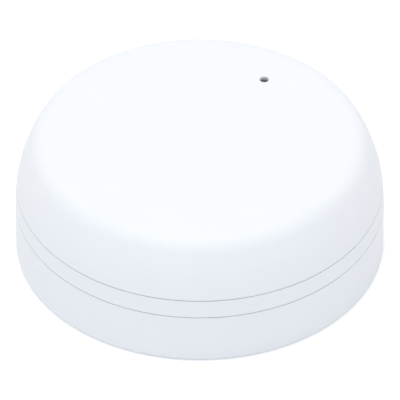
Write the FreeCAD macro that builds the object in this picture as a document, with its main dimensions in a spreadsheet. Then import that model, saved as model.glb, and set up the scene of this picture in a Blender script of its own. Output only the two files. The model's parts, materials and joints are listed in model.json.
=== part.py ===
import FreeCAD, Part
import math
import os
import Sketcher
from FreeCAD import Placement, Rotation, Vector

# Glass break detector: a round, battery powered acoustic sensor on a twist-lock mounting base.
# Frame: origin at the centre of the flat back, +Z out of the wall, +Y up the wall, +X to the right.
# Lengths are in millimetres and angles in degrees.

# Driving dimensions, the cells of the sheet
DIMENSIONS = {
    # Outer form
    "body_radius": 40.0,
    "side_start": 12.1,
    "side_arc_radius": 31.8,
    "rim_round": 4.0,
    "foot_chamfer": 0.6,
    # Seams round the side
    "lower_seam": 12.13,
    "upper_seam": 16.5,
    "seam_gap": 0.2,
    # Front cover
    "cover_wall": 2.0,
    "port_radius": 1.0,
    "port_place_radius": 24.4,
    "port_angle": 54.9,
    "port_seat_radius": 5.0,
    "port_collar_depth": 1.0,
    "boss_radius": 2.7,
    "boss_inset": 2.7,
    "boss_angle": 30.0,
    # Mounting base
    "base_floor": 2.0,
    "base_wall": 2.2,
    "wall_screw_spacing": 50.0,
    "wall_screw_radius": 2.25,
    "wall_screw_pad_radius": 6.0,
    "wall_screw_pad_rise": 1.0,
    "countersink_depth": 1.2,
    "rib_width": 1.0,
    "rib_rise": 0.8,
    "rib_ring_radius": 15.0,
    "rib_count": 6,
    # Twist lock
    "lock_count": 3,
    "lock_angle": 90.0,
    "lug_height": 1.6,
    "lug_bottom": 6.4,
    "lug_half_angle": 6.0,
    "ledge_depth": 2.2,
    "ledge_height": 1.6,
    "ledge_half_angle": 8.0,
    "stop_angle": 2.0,
    "stop_play_angle": 0.45,
    "lock_gap": 0.2,
    "unlock_angle": 15.0,
    # Rear chassis
    "deck_thickness": 2.0,
    "skirt_gap": 2.6,
    "skirt_wall": 2.0,
    "skirt_bottom": 4.0,
    "lip_wall": 1.4,
    "lip_rise": 1.6,
    "lip_gap": 0.5,
    "post_radius": 2.3,
    "post_inset": 6.5,
    "post_angle": 15.0,
    # Cell and its holder
    "cell_radius": 8.5,
    "cell_length": 34.5,
    "cell_y": -13.0,
    "cell_lift": 3.3,
    "cell_gap": 0.4,
    "sleeve_wall": 0.2,
    "cap_radius": 4.2,
    "cap_length": 1.2,
    "nub_radius": 3.0,
    "nub_length": 0.75,
    "seal_radius": 7.4,
    "seal_height": 0.3,
    "holder_wall": 1.2,
    "saddle_width": 1.2,
    "saddle_place": 10.0,
    "contact_sheet": 0.4,
    "contact_width": 10.0,
    "contact_tail_width": 2.0,
    "leaf_bow": 2.6,
    "leaf_half_span": 4.0,
    "leaf_width": 6.0,
    "tail_rise": 0.8,
    "can_edge": 0.6,
    # Circuit board
    "board_inset": 0.5,
    "board_thickness": 1.6,
    "board_clearance": 0.3,
    "headroom": 3.4,
    "board_gap": 0.4,
    # Screws
    "cover_screw_radius": 1.1,
    "cover_screw_length": 8.0,
    "cover_screw_head_radius": 1.9,
    "cover_screw_head_height": 1.3,
    "board_screw_radius": 0.9,
    "board_screw_length": 6.0,
    "board_screw_head_radius": 1.7,
    "board_screw_head_height": 1.1,
    "thread_gap": 0.05,
    "recess_width": 0.5,
    "recess_length": 1.9,
    "recess_depth": 0.6,
    # Microphone
    "capsule_radius": 3.0,
    "capsule_height": 2.5,
    "capsule_port_radius": 0.9,
    "capsule_port_depth": 0.4,
    "boot_wall": 0.9,
    "boot_mouth_radius": 1.6,
    "mesh_radius": 3.3,
    "mesh_thickness": 0.2,
    # Tamper pin and switch
    "tamper_place_radius": 20.0,
    "tamper_angle": 50.0,
    "tamper_travel": 1.5,
    "pin_radius": 1.3,
    "pin_tip_radius": 0.6,
    "pin_flange_radius": 2.1,
    "pin_flange_height": 0.8,
    "pin_spigot_radius": 1.2,
    "pin_spigot_rise": 1.4,
    "guide_wall": 1.0,
    "guide_bottom": 8.0,
    "guide_floor": 1.0,
    "guide_rise": 2.0,
    "slide_gap": 0.08,
    "ramp_width": 4.0,
    "ramp_rest_rise": 1.9,
    "ramp_lead": 1.4,
    "ramp_gap": 0.1,
    "spring_wire": 0.4,
    "spring_radius": 1.65,
    "spring_turns": 4,
    # Learn button and switch
    "button_place_radius": 11.7,
    "button_angle": 115.0,
    "button_radius": 2.5,
    "button_recess": 0.5,
    "button_flange_radius": 3.3,
    "button_flange_height": 0.8,
    "button_stem_radius": 1.5,
    # Push switches
    "switch_side": 6.0,
    "switch_height": 3.5,
    "plunger_radius": 1.75,
    "plunger_reach": 0.8,
    "plunger_depth": 1.2,
    "plunger_travel": 0.3,
    # Parts on the board
    "shield_length": 15.0,
    "shield_width": 12.5,
    "shield_height": 2.4,
    "shield_sheet": 0.3,
    "shield_x": -11.0,
    "shield_y": 9.0,
    "radio_side": 6.0,
    "radio_height": 0.9,
    "processor_side": 9.0,
    "processor_height": 1.2,
    "processor_x": 3.5,
    "processor_y": -5.0,
    "audio_length": 5.0,
    "audio_width": 4.0,
    "audio_height": 1.2,
    "audio_x": 13.0,
    "audio_y": 8.5,
    "crystal_length": 3.2,
    "crystal_width": 2.5,
    "crystal_height": 0.8,
    "crystal_x": -4.5,
    "crystal_y": -4.0,
    "reserve_length": 7.3,
    "reserve_width": 4.3,
    "reserve_height": 2.8,
    "reserve_x": -10.0,
    "reserve_y": -13.0,
    "lamp_length": 3.2,
    "lamp_width": 1.6,
    "lamp_height": 1.1,
    "lamp_x": 6.6,
    "lamp_y": 20.0,
    "header_length": 7.6,
    "header_width": 5.0,
    "header_height": 2.0,
    "header_x": 13.0,
    "header_y": -21.0,
    "header_pitch": 2.54,
    "header_pin_side": 0.6,
    "header_pin_rise": 0.9,
    "capacitor_length": 1.6,
    "capacitor_width": 0.8,
    "capacitor_height": 0.8,
    "capacitor_count": 5,
    "capacitor_pitch": 2.4,
    "capacitor_gap": 0.7,
    "capacitor_y": 3.5,
    "resistor_length": 1.6,
    "resistor_width": 0.8,
    "resistor_height": 0.5,
    "resistor_count": 5,
    "resistor_pitch": 2.2,
    "resistor_x": 12.5,
    "resistor_y": -9.0,
    # Aerial strip round the board
    "aerial_inset": 2.0,
    "aerial_thickness": 0.5,
    "aerial_width": 1.4,
    "aerial_leg_angle": 3.0,
    "aerial_start_angle": 172.0,
    "aerial_sweep": 76.0,
    "aerial_rise": 1.6,
}


class Size:
    """A number together with the sheet expression that gives it."""

    def __init__(self, value, text):
        self.value = value
        self.text = text

    @staticmethod
    def of(item):
        return item if isinstance(item, Size) else Size(float(item), repr(float(item)))

    def __add__(self, other):
        other = Size.of(other)
        return Size(self.value + other.value, f"({self.text} + {other.text})")

    def __sub__(self, other):
        other = Size.of(other)
        return Size(self.value - other.value, f"({self.text} - {other.text})")

    def __mul__(self, other):
        other = Size.of(other)
        return Size(self.value * other.value, f"({self.text} * {other.text})")

    def __truediv__(self, other):
        other = Size.of(other)
        return Size(self.value / other.value, f"({self.text} / {other.text})")

    def __radd__(self, other):
        return Size.of(other) + self

    def __rsub__(self, other):
        return Size.of(other) - self

    def __rmul__(self, other):
        return Size.of(other) * self

    def __rtruediv__(self, other):
        return Size.of(other) / self

    def __neg__(self):
        return Size(-self.value, f"(0 - {self.text})")


def root(size):
    return Size(math.sqrt(size.value), f"sqrt({size.text})")


def cosine(angle):
    angle = Size.of(angle)
    return Size(math.cos(math.radians(angle.value)), f"cos({angle.text})")


def sine(angle):
    angle = Size.of(angle)
    return Size(math.sin(math.radians(angle.value)), f"sin({angle.text})")


def across(radius, height):
    """Half the chord that a circle of this radius has at this height from its centre."""
    return root(radius * radius - height * height)


doc = FreeCAD.newDocument("GlassBreakDetector")
sheet = doc.addObject("Spreadsheet::Sheet", "Sizes")
for row, (alias, number) in enumerate(DIMENSIONS.items(), start=1):
    sheet.set(f"A{row}", alias)
    sheet.set(f"B{row}", str(number))
    sheet.setAlias(f"B{row}", alias)
doc.recompute()


class Sheet:
    """The sheet's cells as Size values, by alias."""

    def __getattr__(self, alias):
        return Size(float(DIMENSIONS[alias]), f"Sizes.{alias}")


dim = Sheet()
pieces = {}


# Sketches and features

def bind(item, path, size):
    """Gives a property its size: by the sheet expression behind it, or as a plain number."""
    if isinstance(size, Size):
        item.setExpression(path, size.text)
    elif "." in path:
        item.setExpression(path, repr(float(size)))
    else:
        setattr(item, path, size)


def new_body(name):
    body = doc.addObject("PartDesign::Body", name)
    body.Label = name
    pieces[name] = body
    return body


def origin_item(body, role):
    return next(item for item in body.Origin.OriginFeatures if item.Role == role)


def new_sketch(body, name, role, shift=None, turn=None):
    """A sketch on one of the body's own origin planes.

    shift moves it by (x, y, z) in the plane's own directions, and turn swings an upright plane about Z.
    """
    sketch = body.newObject("Sketcher::SketchObject", name)
    sketch.AttachmentSupport = (origin_item(body, role), [""])
    sketch.MapMode = "FlatFace"
    if turn is not None:
        sketch.AttachmentOffset = Placement(Vector(0, 0, 0), Rotation(Vector(0, 1, 0), turn.value))
        bind(sketch, "AttachmentOffset.Rotation.Angle", turn)
    if shift is not None:
        for axis, size in zip("xyz", shift):
            bind(sketch, f"AttachmentOffset.Base.{axis}", size)
    return sketch


def fix_point(sketch, geometry, position, x, y):
    """Places a point of the geometry at (x, y) by dimensions, or on an axis where a coordinate is zero."""
    for kind, axis, value in (("DistanceX", -2, x), ("DistanceY", -1, y)):
        if isinstance(value, Size):
            number = sketch.addConstraint(Sketcher.Constraint(kind, geometry, position, value.value))
            sketch.setExpression(f"Constraints[{number}]", value.text)
        else:
            sketch.addConstraint(Sketcher.Constraint("PointOnObject", geometry, position, axis))


def number_of(item):
    return item.value if isinstance(item, Size) else float(item)


def to(x, y):
    """A corner that a straight side leads to."""
    return (x, y, None, None, None)


def arc_to(x, y, centre_x, centre_y, anticlockwise):
    """A corner that an arc about (centre_x, centre_y) leads to."""
    return (x, y, centre_x, centre_y, anticlockwise)


def draw_outline(sketch, corners):
    """Draws a closed outline through the corners, each placed by its own dimensions."""
    count = len(corners)
    ends = []
    for index, (x, y, centre_x, centre_y, anticlockwise) in enumerate(corners):
        before = corners[index - 1]
        first = Vector(number_of(before[0]), number_of(before[1]), 0)
        last = Vector(number_of(x), number_of(y), 0)
        if centre_x is None:
            geometry = sketch.addGeometry(Part.LineSegment(first, last))
            ends.append((geometry, 1, 2))
            continue
        centre = Vector(number_of(centre_x), number_of(centre_y), 0)
        start, stop = (first, last) if anticlockwise else (last, first)
        low, high = (math.atan2(p.y - centre.y, p.x - centre.x) for p in (start, stop))
        circle = Part.Circle(centre, Vector(0, 0, 1), (start - centre).Length)
        if high < low:
            high += 2 * math.pi
        geometry = sketch.addGeometry(Part.ArcOfCircle(circle, low, high))
        ends.append((geometry, 1, 2) if anticlockwise else (geometry, 2, 1))
    for index in range(count):
        geometry, _, end = ends[index]
        following, begin, _ = ends[(index + 1) % count]
        sketch.addConstraint(Sketcher.Constraint("Coincident", geometry, end, following, begin))
        fix_point(sketch, geometry, end, corners[index][0], corners[index][1])
    for index, (x, y, centre_x, centre_y, anticlockwise) in enumerate(corners):
        if centre_x is None:
            continue
        before = corners[index - 1]
        run = abs(number_of(x) - number_of(before[0]))
        climb = abs(number_of(y) - number_of(before[1]))
        kind, axis, value = ("DistanceX", -2, centre_x) if climb > run else ("DistanceY", -1, centre_y)
        if isinstance(value, Size):
            number = sketch.addConstraint(Sketcher.Constraint(kind, ends[index][0], 3, value.value))
            sketch.setExpression(f"Constraints[{number}]", value.text)
        else:
            sketch.addConstraint(Sketcher.Constraint("PointOnObject", ends[index][0], 3, axis))


def draw_circle(sketch, x, y, radius):
    geometry = sketch.addGeometry(
        Part.Circle(Vector(number_of(x), number_of(y), 0), Vector(0, 0, 1), radius.value)
    )
    number = sketch.addConstraint(Sketcher.Constraint("Radius", geometry, radius.value))
    sketch.setExpression(f"Constraints[{number}]", radius.text)
    fix_point(sketch, geometry, 3, x, y)


def rectangle(left, right, low, high):
    return [to(left, low), to(right, low), to(right, high), to(left, high)]


def sector(inner, outer, start_angle, end_angle):
    """The outline of a piece of a ring between two angles."""
    return [
        to(inner * cosine(start_angle), inner * sine(start_angle)),
        to(outer * cosine(start_angle), outer * sine(start_angle)),
        arc_to(outer * cosine(end_angle), outer * sine(end_angle), 0, 0, True),
        to(inner * cosine(end_angle), inner * sine(end_angle)),
    ]


def sector_sketch(body, name, inner, outer, start_angle, end_angle, height):
    sketch = new_sketch(body, name, "XY_Plane", (0, 0, height))
    corners = sector(inner, outer, start_angle, end_angle)
    x, y, _, _, _ = corners[0]
    corners[0] = arc_to(x, y, 0, 0, False)
    draw_outline(sketch, corners)
    return sketch


def add_feature(body, kind, name, sketch, **settings):
    feature = body.newObject(f"PartDesign::{kind}", name)
    feature.Profile = sketch
    for key, value in settings.items():
        if isinstance(value, Size):
            feature.setExpression(key, value.text)
        else:
            setattr(feature, key, value)
    return feature


def pad(body, name, sketch, length, reverse=False, both_ways=False):
    feature = add_feature(body, "Pad", name, sketch, Length=length, Reversed=reverse)
    if both_ways:
        feature.SideType = "Symmetric"
    return feature


def pocket(body, name, sketch, length, reverse=False, both_ways=False):
    feature = add_feature(body, "Pocket", name, sketch, Length=length, Reversed=reverse)
    if both_ways:
        feature.SideType = "Symmetric"
    return feature


def revolve(body, name, sketch, axis="V_Axis", angle=360):
    return add_feature(body, "Revolution", name, sketch, ReferenceAxis=(sketch, [axis]), Angle=angle)


def repeat_round(body, name, features, count):
    """Repeats the features about the body's own Z axis."""
    pattern = body.newObject("PartDesign::PolarPattern", name)
    pattern.Originals = features
    pattern.Axis = (origin_item(body, "Z_Axis"), [""])
    pattern.Angle = 360
    bind(pattern, "Occurrences", count)
    body.Tip = pattern
    return pattern


def edges_at(feature, height, radius=None):
    """Names of the round edges of a feature that lie at this height and, where given, have this radius."""
    doc.recompute()
    names = []
    for index, edge in enumerate(feature.Shape.Edges, start=1):
        if edge.Degenerated or not isinstance(edge.Curve, Part.Circle):
            continue
        same_height = abs(edge.Curve.Center.z - height) < 0.001 and abs(abs(edge.Curve.Axis.z) - 1) < 0.001
        if same_height and (radius is None or abs(edge.Curve.Radius - radius) < 0.001):
            names.append(f"Edge{index}")
    return names


def chamfer(body, name, feature, edges, size):
    cut = body.newObject("PartDesign::Chamfer", name)
    cut.Base = (feature, edges)
    bind(cut, "Size", size)
    return cut


# Derived sizes

side_centre = dim.body_radius - dim.side_arc_radius


def side_radius(height):
    """Outside radius of the barrel side at a height above the back."""
    return side_centre + across(dim.side_arc_radius, height - dim.side_start)


def inner_side_radius(height):
    """Inside radius of the cover's wall at a height above the back."""
    return side_centre + across(dim.side_arc_radius - dim.cover_wall, height - dim.side_start)


def polar(radius, angle):
    return radius * cosine(angle), radius * sine(angle)


cell_height = dim.cell_lift + dim.cell_radius
holder_half_width = dim.cell_radius + dim.cell_gap
holder_roof = cell_height + dim.cell_radius + dim.cell_gap
holder_top = holder_roof + dim.holder_wall
board_bottom = holder_top + dim.board_clearance
board_top = board_bottom + dim.board_thickness
ceiling_height = board_top + dim.headroom
body_height = ceiling_height + dim.cover_wall
rim_centre_height = body_height - dim.rim_round
rim_centre_arm = dim.side_arc_radius - dim.rim_round
rim_centre_radius = side_centre + across(rim_centre_arm, rim_centre_height - dim.side_start)
rim_reach = dim.side_arc_radius / rim_centre_arm
corner_height = rim_centre_height
corner_radius = inner_side_radius(corner_height)
half_gap = dim.seam_gap / 2
base_top = dim.lower_seam - half_gap
band_bottom = dim.lower_seam + half_gap
band_top = dim.upper_seam - half_gap
cover_bottom = dim.upper_seam + half_gap
deck_top = band_bottom + dim.deck_thickness
lip_top = band_top + dim.lip_rise
lip_radius = inner_side_radius(lip_top) - dim.lip_gap
base_inner_radius = dim.body_radius - dim.base_wall
skirt_radius = base_inner_radius - dim.skirt_gap
skirt_inner_radius = skirt_radius - dim.skirt_wall
boss_place_radius = skirt_inner_radius - dim.boss_inset
board_radius = boss_place_radius - dim.board_inset
post_place_radius = board_radius - dim.post_inset
aerial_radius = board_radius - dim.aerial_inset
cell_half = dim.cell_length / 2
holder_right = cell_half + dim.contact_sheet
holder_left = -(cell_half + dim.leaf_bow + dim.contact_sheet)
ledge_bottom = dim.lug_bottom + dim.lug_height + dim.lock_gap
port_x, port_y = polar(dim.port_place_radius, dim.port_angle)
tamper_x, tamper_y = polar(dim.tamper_place_radius, dim.tamper_angle)
button_x, button_y = polar(dim.button_place_radius, dim.button_angle)
switch_bottom = board_bottom - dim.switch_height
plunger_tip = switch_bottom - dim.plunger_reach
ramp_run = 2 * dim.tamper_place_radius * sine(dim.unlock_angle / 2)
ramp_slope = dim.tamper_travel / ramp_run
ramp_rest = dim.base_floor + dim.ramp_rest_rise
pin_flange_bottom = dim.guide_bottom + dim.guide_floor + dim.tamper_travel + dim.slide_gap
pin_flange_top = pin_flange_bottom + dim.pin_flange_height
post_angles = (dim.post_angle, dim.post_angle + 72, 180 - dim.post_angle)
capsule_top = board_top + dim.capsule_height
boot_top = ceiling_height - dim.mesh_thickness
boot_radius = dim.capsule_radius + dim.boot_wall
first_capacitor_x = dim.shield_x + dim.shield_length / 2 + dim.capacitor_gap + dim.capacitor_length / 2


# Shells

def make_front_cover():
    body = new_body("front_cover")
    outline = new_sketch(body, "CoverOutline", "XZ_Plane")
    draw_outline(outline, [
        to(0, cover_bottom),
        to(side_radius(cover_bottom), cover_bottom),
        arc_to(side_centre + rim_reach * (rim_centre_radius - side_centre),
               dim.side_start + rim_reach * (rim_centre_height - dim.side_start),
               side_centre, dim.side_start, True),
        arc_to(rim_centre_radius, body_height, rim_centre_radius, rim_centre_height, True),
        to(0, body_height),
    ])
    revolve(body, "CoverForm", outline)
    hollow = new_sketch(body, "CoverHollow", "XZ_Plane")
    draw_outline(hollow, [
        to(0, cover_bottom),
        to(inner_side_radius(cover_bottom), cover_bottom),
        to(corner_radius, corner_height),
        to(corner_radius - (ceiling_height - corner_height), ceiling_height),
        to(0, ceiling_height),
    ])
    add_feature(body, "Groove", "CoverInside", hollow, ReferenceAxis=(hollow, ["V_Axis"]), Angle=360)

    seat = new_sketch(body, "PortSeatOutline", "XY_Plane", (0, 0, ceiling_height - dim.port_collar_depth))
    draw_circle(seat, port_x, port_y, dim.port_seat_radius)
    pad(body, "PortSeat", seat, dim.port_collar_depth + dim.cover_wall * 0.6)
    collar = new_sketch(body, "PortCollarOutline", "XY_Plane", (0, 0, ceiling_height))
    draw_circle(collar, port_x, port_y, boot_radius + dim.thread_gap)
    pocket(body, "PortCollar", collar, dim.port_collar_depth)
    port = new_sketch(body, "PortOutline", "XY_Plane", (0, 0, body_height))
    draw_circle(port, port_x, port_y, dim.port_radius)
    pocket(body, "Port", port, body_height - cover_bottom)

    boss_x, boss_y = polar(boss_place_radius, dim.boss_angle)
    boss = new_sketch(body, "BossOutline", "XY_Plane", (0, 0, deck_top))
    draw_circle(boss, boss_x, boss_y, dim.boss_radius)
    boss_pad = pad(body, "Boss", boss, ceiling_height + dim.cover_wall / 4 - deck_top)
    pilot = new_sketch(body, "PilotOutline", "XY_Plane", (0, 0, deck_top))
    draw_circle(pilot, boss_x, boss_y, dim.cover_screw_radius + dim.thread_gap)
    pilot_hole = pocket(body, "Pilot", pilot, dim.cover_screw_length, reverse=True)
    repeat_round(body, "Bosses", [boss_pad, pilot_hole], 3)


def make_mounting_base():
    body = new_body("mounting_base")
    outline = new_sketch(body, "BaseOutline", "XZ_Plane")
    draw_outline(outline, [
        to(0, 0),
        to(dim.body_radius - dim.foot_chamfer, 0),
        to(dim.body_radius, dim.foot_chamfer),
        to(dim.body_radius, base_top),
        to(base_inner_radius, base_top),
        to(base_inner_radius, dim.base_floor),
        to(0, dim.base_floor),
    ])
    revolve(body, "BaseForm", outline)

    bite = base_inner_radius + dim.base_wall / 2
    ledge_inner = base_inner_radius - dim.ledge_depth
    low_angle = dim.lock_angle - dim.ledge_half_angle
    high_angle = dim.lock_angle + dim.ledge_half_angle
    ledge = sector_sketch(body, "LedgeOutline", ledge_inner, bite, low_angle, high_angle, ledge_bottom)
    ledge_pad = pad(body, "Ledge", ledge, dim.ledge_height)
    rest_angle = dim.lock_angle - dim.lug_half_angle - dim.stop_play_angle
    rest = sector_sketch(body, "RestStopOutline", ledge_inner, bite, rest_angle - dim.stop_angle, rest_angle,
                         dim.base_floor)
    rest_pad = pad(body, "RestStop", rest, ledge_bottom + dim.ledge_height - dim.base_floor)
    open_angle = dim.lock_angle + dim.unlock_angle + dim.lug_half_angle + dim.stop_play_angle
    far = sector_sketch(body, "OpenStopOutline", ledge_inner, bite, open_angle, open_angle + dim.stop_angle,
                        dim.base_floor)
    far_pad = pad(body, "OpenStop", far, ledge_bottom - dim.base_floor)
    repeat_round(body, "Locks", [ledge_pad, rest_pad, far_pad], dim.lock_count)

    ring = new_sketch(body, "RibRingOutline", "XY_Plane", (0, 0, dim.base_floor))
    draw_circle(ring, 0, 0, dim.rib_ring_radius)
    draw_circle(ring, 0, 0, dim.rib_ring_radius - dim.rib_width)
    pad(body, "RibRing", ring, dim.rib_rise)
    rib = new_sketch(body, "RibOutline", "XY_Plane", (0, 0, dim.base_floor))
    draw_outline(rib, rectangle(dim.rib_ring_radius - dim.rib_width / 2, bite,
                                -(dim.rib_width / 2), dim.rib_width / 2))
    rib_pad = pad(body, "Rib", rib, dim.rib_rise)
    repeat_round(body, "Ribs", [rib_pad], dim.rib_count)

    middle_angle = dim.tamper_angle + dim.unlock_angle / 2
    start = ramp_run / 2 + dim.ramp_lead
    ramp_x, ramp_y = polar(dim.tamper_place_radius, middle_angle)
    ramp = new_sketch(body, "RampOutline", "YZ_Plane", (ramp_y, 0, ramp_x), turn=middle_angle)
    draw_outline(ramp, [
        to(-start, dim.base_floor - dim.base_floor / 4),
        to(start, dim.base_floor - dim.base_floor / 4),
        to(start, ramp_rest - dim.tamper_travel - ramp_slope * dim.ramp_lead),
        to(-start, ramp_rest + ramp_slope * dim.ramp_lead),
    ])
    pad(body, "Ramp", ramp, dim.ramp_width, both_ways=True)

    half_spacing = dim.wall_screw_spacing / 2
    pads = new_sketch(body, "ScrewPadOutline", "XY_Plane", (0, 0, dim.base_floor))
    holes = new_sketch(body, "ScrewHoleOutline", "XY_Plane", (0, 0, dim.base_floor + dim.wall_screw_pad_rise))
    for x in (-half_spacing, half_spacing):
        draw_circle(pads, x, 0, dim.wall_screw_pad_radius)
        draw_circle(holes, x, 0, dim.wall_screw_radius)
    pad(body, "ScrewPads", pads, dim.wall_screw_pad_rise)
    drilled = pocket(body, "ScrewHoles", holes, dim.base_floor + dim.wall_screw_pad_rise)
    top = (dim.base_floor + dim.wall_screw_pad_rise).value
    edges = edges_at(drilled, top, dim.wall_screw_radius.value)
    chamfer(body, "Countersinks", drilled, edges, dim.countersink_depth)


def make_rear_chassis():
    body = new_body("rear_chassis")
    outline = new_sketch(body, "ChassisOutline", "XZ_Plane")
    lip_inner = lip_radius - dim.lip_wall
    draw_outline(outline, [
        to(0, band_bottom),
        to(skirt_inner_radius, band_bottom),
        to(skirt_inner_radius, dim.skirt_bottom),
        to(skirt_radius, dim.skirt_bottom),
        to(skirt_radius, band_bottom),
        to(side_radius(band_bottom), band_bottom),
        to(side_radius(band_top), band_top),
        to(lip_radius, band_top),
        to(lip_radius, lip_top),
        to(lip_inner, lip_top),
        to(lip_inner, deck_top),
        to(0, deck_top),
    ])
    revolve(body, "ChassisForm", outline)

    lug_outer = base_inner_radius - dim.lock_gap * 2
    lug = sector_sketch(body, "LugOutline", skirt_radius - dim.skirt_wall / 2, lug_outer,
                        dim.lock_angle - dim.lug_half_angle, dim.lock_angle + dim.lug_half_angle,
                        dim.lug_bottom)
    lug_pad = pad(body, "Lug", lug, dim.lug_height)
    repeat_round(body, "Lugs", [lug_pad], dim.lock_count)

    low = dim.cell_y - holder_half_width
    high = dim.cell_y + holder_half_width
    outer = new_sketch(body, "HolderOutline", "XY_Plane", (0, 0, dim.skirt_bottom))
    draw_outline(outer, rectangle(holder_left - dim.holder_wall, holder_right + dim.holder_wall,
                                  low - dim.holder_wall, high + dim.holder_wall))
    pad(body, "Holder", outer, holder_top - dim.skirt_bottom)
    inner = new_sketch(body, "HolderHollowOutline", "XY_Plane", (0, 0, dim.skirt_bottom))
    draw_outline(inner, rectangle(holder_left, holder_right, low, high))
    pocket(body, "HolderHollow", inner, holder_roof - dim.skirt_bottom, reverse=True)

    saddle_radius = dim.cell_radius + dim.thread_gap
    for side, place in (("Left", -dim.saddle_place), ("Right", dim.saddle_place)):
        saddle = new_sketch(body, f"Saddle{side}Outline", "YZ_Plane", (0, 0, place))
        draw_outline(saddle, [
            to(high, cell_height),
            to(high, holder_roof),
            to(low, holder_roof),
            to(low, cell_height),
            to(dim.cell_y - saddle_radius, cell_height),
            arc_to(dim.cell_y + saddle_radius, cell_height, dim.cell_y, cell_height, False),
        ])
        pad(body, f"Saddle{side}", saddle, dim.saddle_width, both_ways=True)

    tails = new_sketch(body, "TailSlotOutline", "XY_Plane", (0, 0, holder_top))
    half_tail = dim.contact_tail_width / 2 + dim.thread_gap
    for x in (holder_left, holder_right - dim.contact_sheet):
        draw_outline(tails, rectangle(x, x + dim.contact_sheet,
                                      dim.cell_y - half_tail, dim.cell_y + half_tail))
    pocket(body, "TailSlots", tails, dim.holder_wall)

    post = new_sketch(body, "PostOutline", "XY_Plane", (0, 0, deck_top))
    pilot = new_sketch(body, "PostPilotOutline", "XY_Plane", (0, 0, board_bottom))
    for angle in post_angles:
        x, y = polar(post_place_radius, angle)
        draw_circle(post, x, y, dim.post_radius)
        draw_circle(pilot, x, y, dim.board_screw_radius + dim.thread_gap)
    pad(body, "Posts", post, board_bottom - deck_top)
    pocket(body, "PostPilots", pilot, dim.board_screw_length)

    guide_inner = dim.pin_flange_radius + dim.slide_gap
    guide = new_sketch(body, "GuideOutline", "XY_Plane", (0, 0, dim.guide_bottom))
    draw_circle(guide, tamper_x, tamper_y, guide_inner + dim.guide_wall)
    pad(body, "Guide", guide, deck_top + dim.guide_rise - dim.guide_bottom)
    bore = new_sketch(body, "GuideBoreOutline", "XY_Plane", (0, 0, deck_top + dim.guide_rise))
    draw_circle(bore, tamper_x, tamper_y, guide_inner)
    pocket(body, "GuideBore", bore, deck_top + dim.guide_rise - dim.guide_bottom - dim.guide_floor)
    hole = new_sketch(body, "PinHoleOutline", "XY_Plane", (0, 0, dim.guide_bottom))
    draw_circle(hole, tamper_x, tamper_y, dim.pin_radius + dim.slide_gap)
    pocket(body, "PinHole", hole, dim.guide_floor, reverse=True)

    button = new_sketch(body, "ButtonHoleOutline", "XY_Plane", (0, 0, deck_top))
    draw_circle(button, button_x, button_y, dim.button_radius + dim.slide_gap)
    pocket(body, "ButtonHole", button, dim.deck_thickness)

    screw_x, screw_y = polar(boss_place_radius, dim.boss_angle)
    screw = new_sketch(body, "CoverScrewOutline", "XY_Plane", (0, 0, deck_top))
    draw_circle(screw, screw_x, screw_y, dim.cover_screw_radius + dim.thread_gap)
    screw_hole = pocket(body, "CoverScrewHole", screw, dim.deck_thickness)
    repeat_round(body, "CoverScrewHoles", [screw_hole], 3)


# Board and what is soldered to it

def make_circuit_board():
    body = new_body("circuit_board")
    disc = new_sketch(body, "BoardOutline", "XY_Plane", (0, 0, board_bottom))
    draw_circle(disc, 0, 0, board_radius)
    pad(body, "BoardDisc", disc, dim.board_thickness)

    holes = new_sketch(body, "BoardHoles", "XY_Plane", (0, 0, board_top))
    for angle in post_angles:
        x, y = polar(post_place_radius, angle)
        draw_circle(holes, x, y, dim.board_screw_radius + dim.slide_gap)
    half_tail = dim.contact_tail_width / 2 + dim.slide_gap
    for x in (holder_left, cell_half):
        draw_outline(holes, rectangle(x - dim.slide_gap, x + dim.contact_sheet + dim.slide_gap,
                                      dim.cell_y - half_tail, dim.cell_y + half_tail))
    pocket(body, "BoardHolesCut", holes, dim.board_thickness)

    notch_x, notch_y = polar(boss_place_radius, dim.boss_angle)
    notch = new_sketch(body, "NotchOutline", "XY_Plane", (0, 0, board_top))
    draw_circle(notch, notch_x, notch_y, dim.boss_radius + dim.board_gap)
    notch_cut = pocket(body, "Notch", notch, dim.board_thickness)
    repeat_round(body, "Notches", [notch_cut], 3)


def make_block(name, length, width, height, x, y, bottom):
    """A plain moulded block centred on (x, y), standing on a height."""
    block = doc.addObject("Part::Box", name)
    block.Label = name
    for path, size in (
        ("Length", length), ("Width", width), ("Height", height),
        ("Placement.Base.x", x - length / 2), ("Placement.Base.y", y - width / 2),
        ("Placement.Base.z", bottom),
    ):
        bind(block, path, size)
    pieces[name] = block
    return block


def make_group(name, members):
    """Several separate solids that share one name."""
    group = doc.addObject("Part::Compound", name)
    group.Label = name
    group.Links = members
    for member in members:
        pieces.pop(member.Label)
    pieces[name] = group


def make_chips():
    make_block("processor_chip", dim.processor_side, dim.processor_side, dim.processor_height,
               dim.processor_x, dim.processor_y, board_top)
    make_block("audio_chip", dim.audio_length, dim.audio_width, dim.audio_height,
               dim.audio_x, dim.audio_y, board_top)
    make_block("radio_chip", dim.radio_side, dim.radio_side, dim.radio_height,
               dim.shield_x, dim.shield_y, board_top)
    make_block("crystal", dim.crystal_length, dim.crystal_width, dim.crystal_height,
               dim.crystal_x, dim.crystal_y, board_top)
    make_block("reserve_capacitor", dim.reserve_length, dim.reserve_width, dim.reserve_height,
               dim.reserve_x, dim.reserve_y, board_top)
    make_group("chip_capacitors", [
        make_block(f"capacitor_{index}", dim.capacitor_length, dim.capacitor_width, dim.capacitor_height,
                   first_capacitor_x + index * dim.capacitor_pitch, dim.capacitor_y, board_top)
        for index in range(DIMENSIONS["capacitor_count"])
    ])
    make_group("chip_resistors", [
        make_block(f"resistor_{index}", dim.resistor_width, dim.resistor_length, dim.resistor_height,
                   dim.resistor_x + index * dim.resistor_pitch, dim.resistor_y, board_top)
        for index in range(DIMENSIONS["resistor_count"])
    ])


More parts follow.
